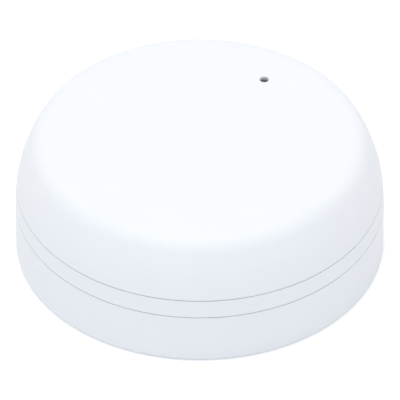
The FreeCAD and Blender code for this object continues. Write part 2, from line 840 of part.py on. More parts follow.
def make_rf_shield():
    body = new_body("rf_shield")
    outer = new_sketch(body, "ShieldOutline", "XY_Plane", (dim.shield_x, dim.shield_y, board_top))
    half_length = dim.shield_length / 2
    half_width = dim.shield_width / 2
    draw_outline(outer, rectangle(-half_length, half_length, -half_width, half_width))
    pad(body, "ShieldForm", outer, dim.shield_height)
    inner = new_sketch(body, "ShieldHollow", "XY_Plane", (dim.shield_x, dim.shield_y, board_top))
    draw_outline(inner, rectangle(dim.shield_sheet - half_length, half_length - dim.shield_sheet,
                                  dim.shield_sheet - half_width, half_width - dim.shield_sheet))
    pocket(body, "ShieldInside", inner, dim.shield_height - dim.shield_sheet, reverse=True)


def make_status_led():
    body = new_body("status_led")
    case = new_sketch(body, "LampOutline", "XY_Plane", (dim.lamp_x, dim.lamp_y, board_top))
    half_length = dim.lamp_length / 2
    half_width = dim.lamp_width / 2
    draw_outline(case, rectangle(-half_length, half_length, -half_width, half_width))
    pad(body, "LampCase", case, dim.lamp_height / 2)
    lens = new_sketch(body, "LampLens", "XY_Plane", (dim.lamp_x, dim.lamp_y, board_top))
    draw_outline(lens, rectangle(-half_length / 2, half_length / 2, -half_width, half_width))
    pad(body, "LampForm", lens, dim.lamp_height)


def make_programming_header():
    body = new_body("programming_header")
    block = new_sketch(body, "HeaderOutline", "XY_Plane", (dim.header_x, dim.header_y, board_top))
    half_length = dim.header_length / 2
    half_width = dim.header_width / 2
    draw_outline(block, rectangle(-half_length, half_length, -half_width, half_width))
    pad(body, "HeaderBlock", block, dim.header_height)
    pins = new_sketch(body, "HeaderPins", "XY_Plane", (dim.header_x, dim.header_y, board_top))
    half_pin = dim.header_pin_side / 2
    for column in (-1, 0, 1):
        for line in (-1, 1):
            x = dim.header_pitch * column
            y = dim.header_pitch / 2 * line
            draw_outline(pins, rectangle(x - half_pin, x + half_pin, y - half_pin, y + half_pin))
    pad(body, "HeaderRows", pins, dim.header_height + dim.header_pin_rise)


def make_aerial_strip():
    body = new_body("aerial_strip")
    inner = aerial_radius - dim.aerial_thickness / 2
    outer = aerial_radius + dim.aerial_thickness / 2
    end_angle = dim.aerial_start_angle + dim.aerial_sweep
    run = sector_sketch(body, "StripRunOutline", inner, outer, dim.aerial_start_angle, end_angle,
                        board_top + dim.aerial_rise)
    pad(body, "StripRun", run, dim.aerial_width)
    for side, angle in (("First", dim.aerial_start_angle), ("Last", end_angle - dim.aerial_leg_angle)):
        leg = sector_sketch(body, f"{side}LegOutline", inner, outer, angle, angle + dim.aerial_leg_angle,
                            board_top)
        pad(body, f"{side}Leg", leg, dim.aerial_rise)


# Microphone

def make_microphone():
    capsule = new_body("microphone_capsule")
    can = new_sketch(capsule, "CapsuleOutline", "XY_Plane", (port_x, port_y, board_top))
    draw_circle(can, 0, 0, dim.capsule_radius)
    pad(capsule, "CapsuleCan", can, dim.capsule_height)
    mouth = new_sketch(capsule, "CapsuleMouth", "XY_Plane", (port_x, port_y, capsule_top))
    draw_circle(mouth, 0, 0, dim.capsule_port_radius)
    pocket(capsule, "CapsulePort", mouth, dim.capsule_port_depth)

    boot = new_body("microphone_boot")
    wall = new_sketch(boot, "BootOutline", "XY_Plane", (port_x, port_y, board_top))
    draw_circle(wall, 0, 0, boot_radius)
    pad(boot, "BootForm", wall, boot_top - board_top)
    seat = new_sketch(boot, "BootSeat", "XY_Plane", (port_x, port_y, board_top))
    draw_circle(seat, 0, 0, dim.capsule_radius + dim.thread_gap)
    pocket(boot, "BootInside", seat, dim.capsule_height, reverse=True)
    opening = new_sketch(boot, "BootMouth", "XY_Plane", (port_x, port_y, boot_top))
    draw_circle(opening, 0, 0, dim.boot_mouth_radius)
    pocket(boot, "BootOpening", opening, boot_top - capsule_top)

    cloth = doc.addObject("Part::Cylinder", "acoustic_mesh")
    cloth.Label = "acoustic_mesh"
    for path, size in (
        ("Radius", dim.mesh_radius), ("Height", dim.mesh_thickness),
        ("Placement.Base.x", port_x), ("Placement.Base.y", port_y), ("Placement.Base.z", boot_top),
    ):
        bind(cloth, path, size)
    pieces["acoustic_mesh"] = cloth


# Cell and contacts

def turned_on_cell(name, corners):
    """A piece turned about the cell's axis, from its outline along and out from that axis."""
    body = new_body(name)
    outline = new_sketch(body, f"{name}_outline", "XZ_Plane", (0, cell_height, -dim.cell_y))
    draw_outline(outline, corners)
    revolve(body, f"{name}_form", outline, axis="H_Axis")


def make_cell():
    can_radius = dim.cell_radius - dim.sleeve_wall
    can_left = -cell_half
    can_right = cell_half - dim.cap_length
    inner = can_radius - dim.can_edge
    turned_on_cell("battery_can", [
        to(can_right, 0),
        to(can_right, inner),
        to(can_right - dim.can_edge, can_radius),
        to(can_left + dim.can_edge, can_radius),
        to(can_left, inner),
        to(can_left, 0),
    ])
    turned_on_cell("battery_sleeve",
                   rectangle(can_left + dim.can_edge, can_right - dim.can_edge, can_radius, dim.cell_radius))
    turned_on_cell("battery_seal",
                   rectangle(can_right, can_right + dim.seal_height, dim.cap_radius, dim.seal_radius))
    turned_on_cell("battery_cap", [
        to(can_right, 0),
        to(cell_half, 0),
        to(cell_half, dim.nub_radius),
        to(cell_half - dim.nub_length, dim.nub_radius),
        to(cell_half - dim.nub_length, dim.cap_radius),
        to(can_right, dim.cap_radius),
    ])


def contact_plate(name, left):
    body = new_body(name)
    plate = new_sketch(body, f"{name}_outline", "YZ_Plane", (0, 0, left))
    low = cell_height - dim.contact_width / 2
    tip = board_top + dim.tail_rise
    half = dim.contact_width / 2
    half_tail = dim.contact_tail_width / 2
    draw_outline(plate, [
        to(dim.cell_y - half, low),
        to(dim.cell_y + half, low),
        to(dim.cell_y + half, holder_roof),
        to(dim.cell_y + half_tail, holder_roof),
        to(dim.cell_y + half_tail, tip),
        to(dim.cell_y - half_tail, tip),
        to(dim.cell_y - half_tail, holder_roof),
        to(dim.cell_y - half, holder_roof),
    ])
    pad(body, f"{name}_plate", plate, dim.contact_sheet)
    return body


def make_contacts():
    contact_plate("positive_contact", cell_half)
    body = contact_plate("negative_contact", holder_left)
    face = holder_left + dim.contact_sheet
    bow_radius = (dim.leaf_half_span * dim.leaf_half_span + dim.leaf_bow * dim.leaf_bow) / (2 * dim.leaf_bow)
    centre = -cell_half - bow_radius
    inner_half = across(bow_radius - dim.contact_sheet, face - centre)
    leaf = new_sketch(body, "LeafOutline", "XZ_Plane", (0, cell_height, -dim.cell_y))
    draw_outline(leaf, [
        to(face, -dim.leaf_half_span),
        arc_to(face, dim.leaf_half_span, centre, 0, True),
        to(face, inner_half),
        arc_to(face, -inner_half, centre, 0, False),
    ])
    pad(body, "Leaf", leaf, dim.leaf_width, both_ways=True)


# Tamper pin, learn button and their switches

def upright_turning(body, name, x, y, corners):
    """Adds a form turned about the upright axis at (x, y)."""
    outline = new_sketch(body, f"{name}Outline", "XZ_Plane", (x, 0, -y))
    draw_outline(outline, corners)
    return revolve(body, name, outline)


def make_tamper_pin():
    body = new_body("tamper_pin")
    tip = ramp_rest + dim.ramp_gap + dim.pin_tip_radius * ramp_slope
    spigot_top = pin_flange_top + dim.pin_spigot_rise
    upright_turning(body, "PinForm", tamper_x, tamper_y, [
        to(0, tip),
        to(dim.pin_tip_radius, tip),
        to(dim.pin_radius, tip + dim.pin_radius - dim.pin_tip_radius),
        to(dim.pin_radius, pin_flange_bottom),
        to(dim.pin_flange_radius, pin_flange_bottom),
        to(dim.pin_flange_radius, pin_flange_top),
        to(dim.pin_spigot_radius, pin_flange_top),
        to(dim.pin_spigot_radius, spigot_top),
        to(0, spigot_top),
    ])

    coil = new_body("tamper_spring")
    section = new_sketch(coil, "SpringSection", "XZ_Plane", (tamper_x, pin_flange_top, -tamper_y))
    half_wire = dim.spring_wire / 2
    draw_outline(section, [
        to(dim.spring_radius + half_wire * cosine(angle), half_wire + half_wire * sine(angle))
        for angle in (0, 90, 180, 270)
    ])
    helix = coil.newObject("PartDesign::AdditiveHelix", "SpringCoil")
    helix.Profile = section
    helix.ReferenceAxis = (section, ["V_Axis"])
    helix.Mode = "height-turns-angle"
    helix.Turns = DIMENSIONS["spring_turns"]
    bind(helix, "Height", plunger_tip - pin_flange_top - dim.spring_wire)


def make_learn_button():
    body = new_body("learn_button")
    flange_bottom = deck_top + dim.slide_gap
    flange_top = flange_bottom + dim.button_flange_height
    button_bottom = band_bottom + dim.button_recess
    upright_turning(body, "ButtonForm", button_x, button_y, [
        to(0, button_bottom),
        to(dim.button_radius, button_bottom),
        to(dim.button_radius, flange_bottom),
        to(dim.button_flange_radius, flange_bottom),
        to(dim.button_flange_radius, flange_top),
        to(dim.button_stem_radius, flange_top),
        to(dim.button_stem_radius, plunger_tip),
        to(0, plunger_tip),
    ])


def make_switch(name, x, y):
    """A push switch that hangs under the board at (x, y), and its plunger."""
    body = new_body(name)
    half = dim.switch_side / 2
    case = new_sketch(body, f"{name}_outline", "XY_Plane", (x, y, switch_bottom))
    draw_outline(case, rectangle(-half, half, -half, half))
    pad(body, f"{name}_case", case, dim.switch_height)
    bore = new_sketch(body, f"{name}_bore", "XY_Plane", (x, y, switch_bottom))
    draw_circle(bore, 0, 0, dim.plunger_radius + dim.slide_gap)
    depth = dim.plunger_depth + dim.plunger_travel + dim.slide_gap
    pocket(body, f"{name}_hollow", bore, depth, reverse=True)

    plunger = doc.addObject("Part::Cylinder", f"{name}_plunger")
    plunger.Label = f"{name}_plunger"
    for path, size in (
        ("Radius", dim.plunger_radius), ("Height", dim.plunger_reach + dim.plunger_depth),
        ("Placement.Base.x", x), ("Placement.Base.y", y), ("Placement.Base.z", plunger_tip),
    ):
        bind(plunger, path, size)
    pieces[plunger.Label] = plunger


# Screws

def screw_form(body, name, x, y, seat, head_height, head_radius, shank_radius, length):
    """A cheese head screw at (x, y): the head leads up from its seat, or down if negative."""
    head_end = seat + head_height
    corners = [
        to(0, head_end),
        to(head_radius, head_end),
        to(head_radius, seat),
        to(shank_radius, seat),
        to(shank_radius, seat + length),
        to(0, seat + length),
    ]
    form = upright_turning(body, name, x, y, corners)
    cuts = []
    for way, along, wide in (("Long", dim.recess_length, dim.recess_width),
                             ("Cross", dim.recess_width, dim.recess_length)):
        slot = new_sketch(body, f"{name}{way}Outline", "XY_Plane", (x, y, head_end))
        draw_outline(slot, rectangle(-along / 2, along / 2, -wide / 2, wide / 2))
        cuts.append(pocket(body, f"{name}{way}", slot, dim.recess_depth, reverse=head_height.value < 0))
    return [form] + cuts


def make_screws():
    cover = new_body("cover_screws")
    cover.AllowCompound = True
    x, y = polar(boss_place_radius, dim.boss_angle)
    features = screw_form(cover, "CoverScrew", x, y, band_bottom, -dim.cover_screw_head_height,
                          dim.cover_screw_head_radius, dim.cover_screw_radius, dim.cover_screw_length)
    repeat_round(cover, "CoverScrews", features, 3)

    board = new_body("board_screws")
    board.AllowCompound = True
    for index, angle in enumerate(post_angles):
        x, y = polar(post_place_radius, angle)
        screw_form(board, f"BoardScrew{index}", x, y, board_top, dim.board_screw_head_height,
                   dim.board_screw_head_radius, dim.board_screw_radius, -dim.board_screw_length)


def check_and_export():
    doc.recompute()
    faults = [
        f"{item.Name}: {item.State}"
        for item in doc.Objects
        if "Invalid" in item.State or "Error" in item.State
    ]
    for name, piece in pieces.items():
        if piece.Shape.isNull() or not piece.Shape.isValid():
            faults.append(f"{name}: no valid shape")
    if faults:
        raise RuntimeError("; ".join(faults))
    os.makedirs("parts", exist_ok=True)
    for name, piece in pieces.items():
        piece.Shape.exportStep(f"parts/{name}.step")
        print(f"{name}: {len(piece.Shape.Solids)} solid(s), {piece.Shape.Volume:.2f} mm3")


def main():
    make_front_cover()
    make_mounting_base()
    make_rear_chassis()
    make_circuit_board()
    make_chips()
    make_rf_shield()
    make_status_led()
    make_programming_header()
    make_aerial_strip()
    make_microphone()
    make_cell()
    make_contacts()
    make_tamper_pin()
    make_learn_button()
    make_switch("tamper_switch", tamper_x, tamper_y)
    make_switch("learn_switch", button_x, button_y)
    make_screws()
    check_and_export()


main()
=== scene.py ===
"""Looks of a round glass break detector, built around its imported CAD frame. Lengths are in metres."""

import json
import logging
import math
from contextlib import contextmanager
from dataclasses import dataclass, field
from enum import Enum
from functools import partial
from typing import Callable, ClassVar, Iterator, Optional, Union

import bmesh
import bpy
from mathutils import Matrix, Vector


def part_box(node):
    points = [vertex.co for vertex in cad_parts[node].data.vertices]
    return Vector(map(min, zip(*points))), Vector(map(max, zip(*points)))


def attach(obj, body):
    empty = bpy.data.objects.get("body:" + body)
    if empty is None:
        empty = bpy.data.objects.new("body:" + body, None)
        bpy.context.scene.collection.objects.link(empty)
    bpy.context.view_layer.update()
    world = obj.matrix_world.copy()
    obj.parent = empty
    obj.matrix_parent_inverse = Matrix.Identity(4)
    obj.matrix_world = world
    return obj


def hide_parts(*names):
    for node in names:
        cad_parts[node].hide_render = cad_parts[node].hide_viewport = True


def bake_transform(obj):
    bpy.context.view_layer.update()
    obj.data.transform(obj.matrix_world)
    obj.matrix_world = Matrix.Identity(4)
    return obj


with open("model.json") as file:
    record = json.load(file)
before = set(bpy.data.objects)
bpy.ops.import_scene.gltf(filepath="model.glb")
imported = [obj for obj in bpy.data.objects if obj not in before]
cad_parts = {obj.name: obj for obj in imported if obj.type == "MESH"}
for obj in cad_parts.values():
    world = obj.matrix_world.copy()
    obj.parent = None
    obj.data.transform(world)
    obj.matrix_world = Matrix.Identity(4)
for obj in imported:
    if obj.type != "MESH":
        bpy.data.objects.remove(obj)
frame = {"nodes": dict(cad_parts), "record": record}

MM = 0.001
NEAR = 0.01 * MM
STRAIGHT = 0.9  # cosine over which a direction counts as lying along an axis
log = logging.getLogger("glass_break_detector")
Colour = tuple[float, float, float, float]
Triple = tuple[float, float, float]


class Body(Enum):
    """The moving groups that the pieces ride on."""

    DETECTOR = "detector"
    PIN = "tamper_pin"


@dataclass(frozen=True)
class Wire:
    """A shader socket that takes part in arithmetic, adding Math nodes as it goes."""

    recipe: "Recipe"
    socket: bpy.types.NodeSocket

    def join(self, operation: str, other: "Operand" = 0.0) -> "Wire":
        """Adds one Math node.

        Args:
            operation: The node's operation.
            other: Its second value or link.

        Returns:
            The node's output.
        """
        return self.recipe.add("ShaderNodeMath", {0: self, 1: other}, operation=operation)

    def __add__(self, other: "Operand") -> "Wire":
        """Sum."""
        return self.join("ADD", other)

    def __mul__(self, other: "Operand") -> "Wire":
        """Product."""
        return self.join("MULTIPLY", other)

    def above(self, limit: float) -> "Wire":
        """One where the value is over the limit, else zero."""
        return self.join("GREATER_THAN", limit)

    def below(self, limit: float) -> "Wire":
        """One where the value is under the limit, else zero."""
        return self.join("LESS_THAN", limit)

    def most(self, other: "Operand") -> "Wire":
        """The larger of two values."""
        return self.join("MAXIMUM", other)

    def wave(self, length: float) -> "Wire":
        """Sine wave along the value."""
        return (self * (2 * math.pi / length)).join("SINE")

    def around(self, mean: float, spread: float) -> "Wire":
        """Values about a mean, from noise about one half."""
        return self * spread + (mean - spread / 2)


Operand = Union[Wire, float, Colour, Vector]


@dataclass(frozen=True)
class Pattern:
    """Values that vary over a surface: cloudy noise about one half, or distances in scattered cells."""

    grain: float
    detail: float = 2.0
    stretch: Triple = (1.0, 1.0, 1.0)
    cells: bool = False


class Recipe:
    """The nodes of a material, or of the world, under construction."""

    def __init__(self, name: str, room: bool = False) -> None:
        """Makes an empty material or world.

        Args:
            name: Its name.
            room: True for a world.
        """
        self.owner = (bpy.data.worlds if room else bpy.data.materials).new(name)
        self.owner.use_nodes = True
        self.tree = self.owner.node_tree
        self.tree.nodes.clear()
        self.output_kind = "ShaderNodeOutputWorld" if room else "ShaderNodeOutputMaterial"

    def add(self, kind: str, sockets: Optional[dict[Union[str, int], Operand]] = None,
            output: Union[str, int] = 0, **settings: object) -> Optional[Wire]:
        """Adds one node.

        Args:
            kind: The node's type.
            sockets: Values or links of its inputs, by name or number.
            output: The output that is returned, by name or number.
            **settings: The node's own properties, set before its sockets.

        Returns:
            The chosen output, or nothing from a node without one.
        """
        node = self.tree.nodes.new(kind)
        for key, value in settings.items():
            setattr(node, key, value)
        for key, value in (sockets or {}).items():
            if isinstance(value, Wire):
                self.tree.links.new(value.socket, node.inputs[key])
            else:
                node.inputs[key].default_value = value
        return Wire(self, node.outputs[output]) if node.outputs else None

    def place(self, stretch: Triple = (1.0, 1.0, 1.0)) -> Wire:
        """The point in the object's own coordinates, in metres, stretched along each axis."""
        point = self.add("ShaderNodeTexCoord", output="Object")
        return self.add("ShaderNodeVectorMath", {0: point, 1: Vector(stretch)}, operation="MULTIPLY")

    def part(self, place: Wire, axis: int) -> Wire:
        """One coordinate of a point."""
        return self.add("ShaderNodeSeparateXYZ", {0: place}, output=axis)

    def draw(self, pattern: Pattern) -> Wire:
        """Draws a pattern over the object.

        Args:
            pattern: What is drawn.

        Returns:
            Its value at each point.
        """
        place = self.place(pattern.stretch)
        if pattern.cells:
            return self.cells(pattern.grain, place)
        return self.add("ShaderNodeTexNoise", {"Vector": place, "Scale": 1.0 / pattern.grain,
                                               "Detail": pattern.detail})

    def cells(self, grain: float, place: Wire, metric: str = "EUCLIDEAN") -> Wire:
        """Distance to the nearest of many scattered points.

        Args:
            grain: Mean distance between the points, in metres, which counts as one.
            place: Coordinates.
            metric: How distance is measured.

        Returns:
            The distance.
        """
        return self.add("ShaderNodeTexVoronoi", {"Vector": place, "Scale": 1.0 / grain}, output="Distance",
                        distance=metric)

    def tint(self, share: Operand, low: Operand, high: Operand) -> Wire:
        """Mixes two colours.

        Args:
            share: Share of the second colour.
            low: The first colour.
            high: The second colour.

        Returns:
            The mixed colour.
        """
        return self.add("ShaderNodeMix", {0: share, 6: low, 7: high}, output=2, data_type="RGBA")

    def bump(self, height: Wire, depth: float) -> Wire:
        """A normal that raises the surface by a height map from 0 to 1, depth metres deep."""
        return self.add("ShaderNodeBump", {"Height": height, "Distance": depth, "Strength": 1.0})

    def end(self, shader: Wire) -> None:
        """Ends the recipe with a shader."""
        self.add(self.output_kind, {"Surface": shader})

    def surface(self, sockets: dict[str, Operand]) -> bpy.types.Material:
        """Ends the recipe with one Principled shader.

        Args:
            sockets: Its sockets, by name.

        Returns:
            The finished material.
        """
        self.end(self.add("ShaderNodeBsdfPrincipled", sockets))
        return self.owner


@dataclass(frozen=True)
class Finish:
    """A finish whose tint, sheen and relief each follow a pattern."""

    name: str
    colour: Colour
    shade: Colour
    tint: Pattern
    sheen: Pattern
    relief: Pattern
    depth: float
    spread: float
    roughness: float = 0.5
    more: dict[str, Operand] = field(default_factory=dict)

    def material(self) -> bpy.types.Material:
        """Builds the finish.

        Returns:
            The material.
        """
        recipe = Recipe(self.name)
        return recipe.surface({
            "Base Color": recipe.tint(recipe.draw(self.tint), self.colour, self.shade),
            "Roughness": recipe.draw(self.sheen).around(self.roughness, self.spread),
            "Normal": recipe.bump(recipe.draw(self.relief), self.depth),
        } | self.more)


@dataclass(frozen=True)
class SolderMask:
    """Glass fibre under green mask: raised straight tracks, vias, a bare margin and a sawn edge."""

    name: str
    mask: Colour
    track: Colour
    laminate: Colour
    radius: float
    margin: float = 0.5 * MM
    pitch: float = 1.3 * MM
    block: float = 11.0 * MM
    track_limit: float = 0.6
    track_rise: float = 0.03 * MM
    via_spacing: float = 3.4 * MM
    via_share: float = 0.13
    weave: float = 0.5 * MM
    weave_swing: float = 0.03
    roughness: float = 0.3
    coat: float = 0.4
    coat_roughness: float = 0.15

    def material(self) -> bpy.types.Material:
        """Builds the finish.

        Returns:
            The material.
        """
        recipe = Recipe(self.name)
        flat = recipe.place(stretch=(1.0, 1.0, 0.0))
        squares = recipe.cells(self.block, flat, metric="CHEBYCHEV")
        tracks = squares.wave(self.pitch / self.block).above(self.track_limit)
        vias = recipe.cells(self.via_spacing, flat).below(self.via_share)
        out = recipe.add("ShaderNodeVectorMath", {0: flat}, output="Value", operation="LENGTH")
        copper = tracks.most(vias) * out.below(self.radius - self.margin)
        edge = out.above(self.radius - NEAR)
        fibre = [recipe.part(flat, axis).wave(self.weave) for axis in (0, 1)]
        return recipe.surface({
            "Base Color": recipe.tint(edge, recipe.tint(copper, self.mask, self.track), self.laminate),
            "Roughness": fibre[0] * fibre[1] * self.weave_swing + self.roughness,
            "Coat Weight": self.coat,
            "Coat Roughness": self.coat_roughness,
            "Normal": recipe.bump(copper, self.track_rise),
        })


@dataclass(frozen=True)
class WovenCloth:
    """Fine dust cloth of crossed threads with dark gaps between them."""

    name: str
    thread: Colour
    shadow: Colour
    pitch: float = 0.28 * MM
    weave_depth: float = 0.05 * MM
    roughness: float = 0.9
    sheen: float = 0.3

    def material(self) -> bpy.types.Material:
        """Builds the finish.

        Returns:
            The material.
        """
        recipe = Recipe(self.name)
        place = recipe.place()
        weft, warp = (recipe.part(place, axis).wave(self.pitch) for axis in (0, 1))
        weave = weft.most(warp) * 0.5 + 0.5
        return recipe.surface({
            "Base Color": recipe.tint(weave, self.shadow, self.thread),
            "Roughness": self.roughness,
            "Sheen Weight": self.sheen,
            "Normal": recipe.bump(weave, self.weave_depth),
        })


@dataclass(frozen=True)
class Camera:
    """Where the photograph was taken from."""

    elevation: float = 39.6
    distance: float = 1.6
    lens: float = 664.0
    sensor: float = 36.0
    nearest: float = 0.05
    farthest: float = 20.0
    target: Triple = (0.05 * MM, -1.16 * MM, 12.6 * MM)

    def place(self) -> None:
        """Adds the camera and makes it the scene's own."""
        angle = math.radians(self.elevation)
        back = Vector((0.0, -math.cos(angle), math.sin(angle)))
        bpy.ops.object.camera_add(location=Vector(self.target) + back * self.distance)
        camera = bpy.context.object
        camera.name = "photo_camera"
        camera.rotation_mode = "QUATERNION"
        camera.rotation_quaternion = (-back).to_track_quat("-Z", "Y")
        camera.data.sensor_width = self.sensor
        camera.data.lens = self.lens
        camera.data.clip_start = self.nearest
        camera.data.clip_end = self.farthest
        bpy.context.scene.camera = camera


@dataclass(frozen=True)
class SoftBox:
    """One large lamp, aimed at the object."""

    name: str
    place: Triple
    power: float
    colour: Triple
    size: float = 1.0

    def hang(self) -> None:
        """Adds the lamp and turns it to the origin."""
        bpy.ops.object.light_add(type="AREA", location=self.place)
        lamp = bpy.context.object
        lamp.name = self.name
        lamp.rotation_mode = "QUATERNION"
        lamp.rotation_quaternion = (-Vector(self.place)).to_track_quat("-Z", "Y")
        lamp.data.shape = "SQUARE"
        lamp.data.size = self.size
        lamp.data.energy = self.power
        lamp.data.color = self.colour


@dataclass
class Studio:
    """The pale table, the light and the camera."""

    floor_half: float = 3.0
    floor_depth: float = 0.04
    floor_edge: float = 0.01
    floor_grain: float = 60 * MM
    floor_colour: Colour = (0.92, 0.93, 0.94, 1.0)
    floor_warm: Colour = (0.93, 0.93, 0.93, 1.0)
    floor_lift: float = 0.2
    fill_colour: Colour = (0.94, 0.955, 1.0, 1.0)
    fill_strength: float = 0.74
    backdrop: Colour = (1.0, 1.0, 1.0, 1.0)
    lamps: tuple[SoftBox, ...] = (
        SoftBox("overhead_lamp", (-0.1, 0.0, 1.7), power=10.6, colour=(1.0, 0.98, 0.9)),
        SoftBox("front_lamp", (-0.14, -1.05, 1.3), power=3.2, colour=(0.58, 0.76, 1.0)),
    )

    def seen(self, recipe: Recipe) -> Wire:
        """Tells the rays that show a surface from those that light it.

        Args:
            recipe: The recipe that the nodes join.

        Returns:
            One for rays from the camera, from gloss or through glass, else zero.
        """
        camera, gloss, glass = (recipe.add("ShaderNodeLightPath", output=f"Is {kind} Ray")
                                for kind in ("Camera", "Glossy", "Transmission"))
        return camera.most(gloss).most(glass)

    def lay_floor(self) -> None:
        """Lays the pale table, which looks white but keeps the object's soft shadow."""
        half = Vector((self.floor_half, self.floor_half, 0.0))
        table = Piece.block("table", -half - Vector((0.0, 0.0, self.floor_depth)), half)
        table.soften(self.floor_edge, segments=4)
        recipe = Recipe("pale_table")
        grain = recipe.draw(Pattern(self.floor_grain))
        matt = recipe.add("ShaderNodeBsdfDiffuse",
                          {"Color": recipe.tint(grain, self.floor_colour, self.floor_warm)})
        glow = recipe.add("ShaderNodeEmission", {"Strength": self.seen(recipe) * self.floor_lift})
        recipe.end(recipe.add("ShaderNodeAddShader", {0: matt, 1: glow}))
        table.object.data.materials.append(recipe.owner)

    def fill_world(self) -> None:
        """Fills the room with soft light and shows white where nothing stands."""
        recipe = Recipe("soft_room", room=True)
        fill = recipe.add("ShaderNodeBackground",
                          {"Color": self.fill_colour, "Strength": self.fill_strength})
        white = recipe.add("ShaderNodeBackground", {"Color": self.backdrop})
        recipe.end(recipe.add("ShaderNodeMixShader", {0: self.seen(recipe), 1: fill, 2: white}))
        bpy.context.scene.world = recipe.owner

    def build(self) -> None:
        """Sets the stage, the light, the colour handling and the camera."""
        self.lay_floor()
        self.fill_world()
        for lamp in self.lamps:
            lamp.hang()
        bpy.context.scene.view_settings.view_transform = "Standard"
        Camera().place()


def every_finish() -> tuple[Union[Finish, SolderMask, WovenCloth], ...]:
    """Lists the object's finishes, one for each of the record's material slots.

    Returns:
        The finishes.
    """
    white, white_shade = (0.87, 0.88, 0.895, 1.0), (0.85, 0.862, 0.88, 1.0)
    black, black_shade = (0.03, 0.03, 0.034, 1.0), (0.045, 0.045, 0.05, 1.0)
    speckle = Pattern(0.12 * MM, detail=3.0)
    marks = Pattern(1.2 * MM, stretch=(1.0, 12.0, 12.0))
    patches = Pattern(2 * MM, detail=4.0)
    creases = Pattern(2.2 * MM, stretch=(0.25, 1.0, 1.0))
    haze = Pattern(0.8 * MM)
    plastic = partial(Finish, tint=Pattern(14 * MM, detail=3.0), sheen=Pattern(3 * MM),
                      relief=Pattern(0.35 * MM, detail=1.0), depth=0.004 * MM, spread=0.12)
    shell = partial(plastic, colour=white, shade=white_shade, more={
        "Specular IOR Level": 0.35, "Subsurface Weight": 0.4, "Subsurface Scale": 0.6 * MM,
        "Subsurface Radius": Vector((1.0, 0.95, 0.9))})
    metal = partial(Finish, tint=Pattern(4 * MM, detail=3.0), sheen=marks, relief=marks, depth=0.002 * MM,
                    spread=0.2, more={"Metallic": 1.0})
    return (
        shell("white_shell", roughness=0.6),
        shell("white_base", roughness=0.62),
        SolderMask("board_laminate", (0.03, 0.2, 0.1, 1.0), (0.07, 0.33, 0.16, 1.0),
                   (0.42, 0.4, 0.2, 1.0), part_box("circuit_board")[1].x),
        plastic("chip_resin", black, black_shade, roughness=0.6, relief=Pattern(0.15 * MM, detail=1.0)),
        plastic("seal_plastic", (0.06, 0.06, 0.065, 1.0), (0.09, 0.09, 0.1, 1.0)),
        plastic("acetal", (0.82, 0.82, 0.78, 1.0), (0.78, 0.78, 0.74, 1.0), roughness=0.4),
        plastic("button_plastic", (0.22, 0.23, 0.25, 1.0), (0.18, 0.19, 0.21, 1.0)),
        plastic("switch_plastic", black, black_shade, roughness=0.45),
        metal("tinned_sheet", (0.72, 0.72, 0.70, 1.0), (0.6, 0.6, 0.58, 1.0), roughness=0.34),
        metal("nickel", (0.78, 0.76, 0.72, 1.0), (0.66, 0.64, 0.6, 1.0), roughness=0.22),
        metal("copper_strip", (0.72, 0.38, 0.2, 1.0), (0.55, 0.28, 0.15, 1.0), roughness=0.3),
        metal("spring_steel", (0.6, 0.6, 0.6, 1.0), (0.45, 0.45, 0.46, 1.0), roughness=0.28),
        metal("zinc_screw", (0.66, 0.67, 0.69, 1.0), (0.55, 0.56, 0.5, 1.0), roughness=0.33),
        WovenCloth("cloth", (0.1, 0.1, 0.1, 1.0), (0.01, 0.01, 0.01, 1.0)),
        Finish("ceramic", (0.5, 0.36, 0.24, 1.0), (0.4, 0.28, 0.18, 1.0), speckle, speckle, speckle,
               depth=0.004 * MM, spread=0.15),
        Finish("rubber", (0.03, 0.03, 0.03, 1.0), (0.08, 0.08, 0.08, 1.0), patches, patches,
               Pattern(0.25 * MM, cells=True), depth=0.01 * MM, spread=0.2, roughness=0.75),
        Finish("sleeve_film", (0.74, 0.76, 0.78, 1.0), (0.66, 0.68, 0.71, 1.0), creases, creases, creases,
               depth=0.03 * MM, spread=0.15, roughness=0.28,
               more={"Coat Weight": 0.5, "Coat Roughness": 0.1}),
        Finish("lamp_resin", (0.95, 0.95, 0.9, 1.0), (0.9, 0.8, 0.35, 1.0), haze, haze, haze, depth=0.0,
               spread=0.06, roughness=0.15,
               more={"Transmission Weight": 0.35, "IOR": 1.5, "Coat Weight": 0.6}),
    )


class Pick(Enum):
    """What a selection is made of."""

    POINTS = "VERT"
    EDGES = "EDGE"
    FACES = "FACE"


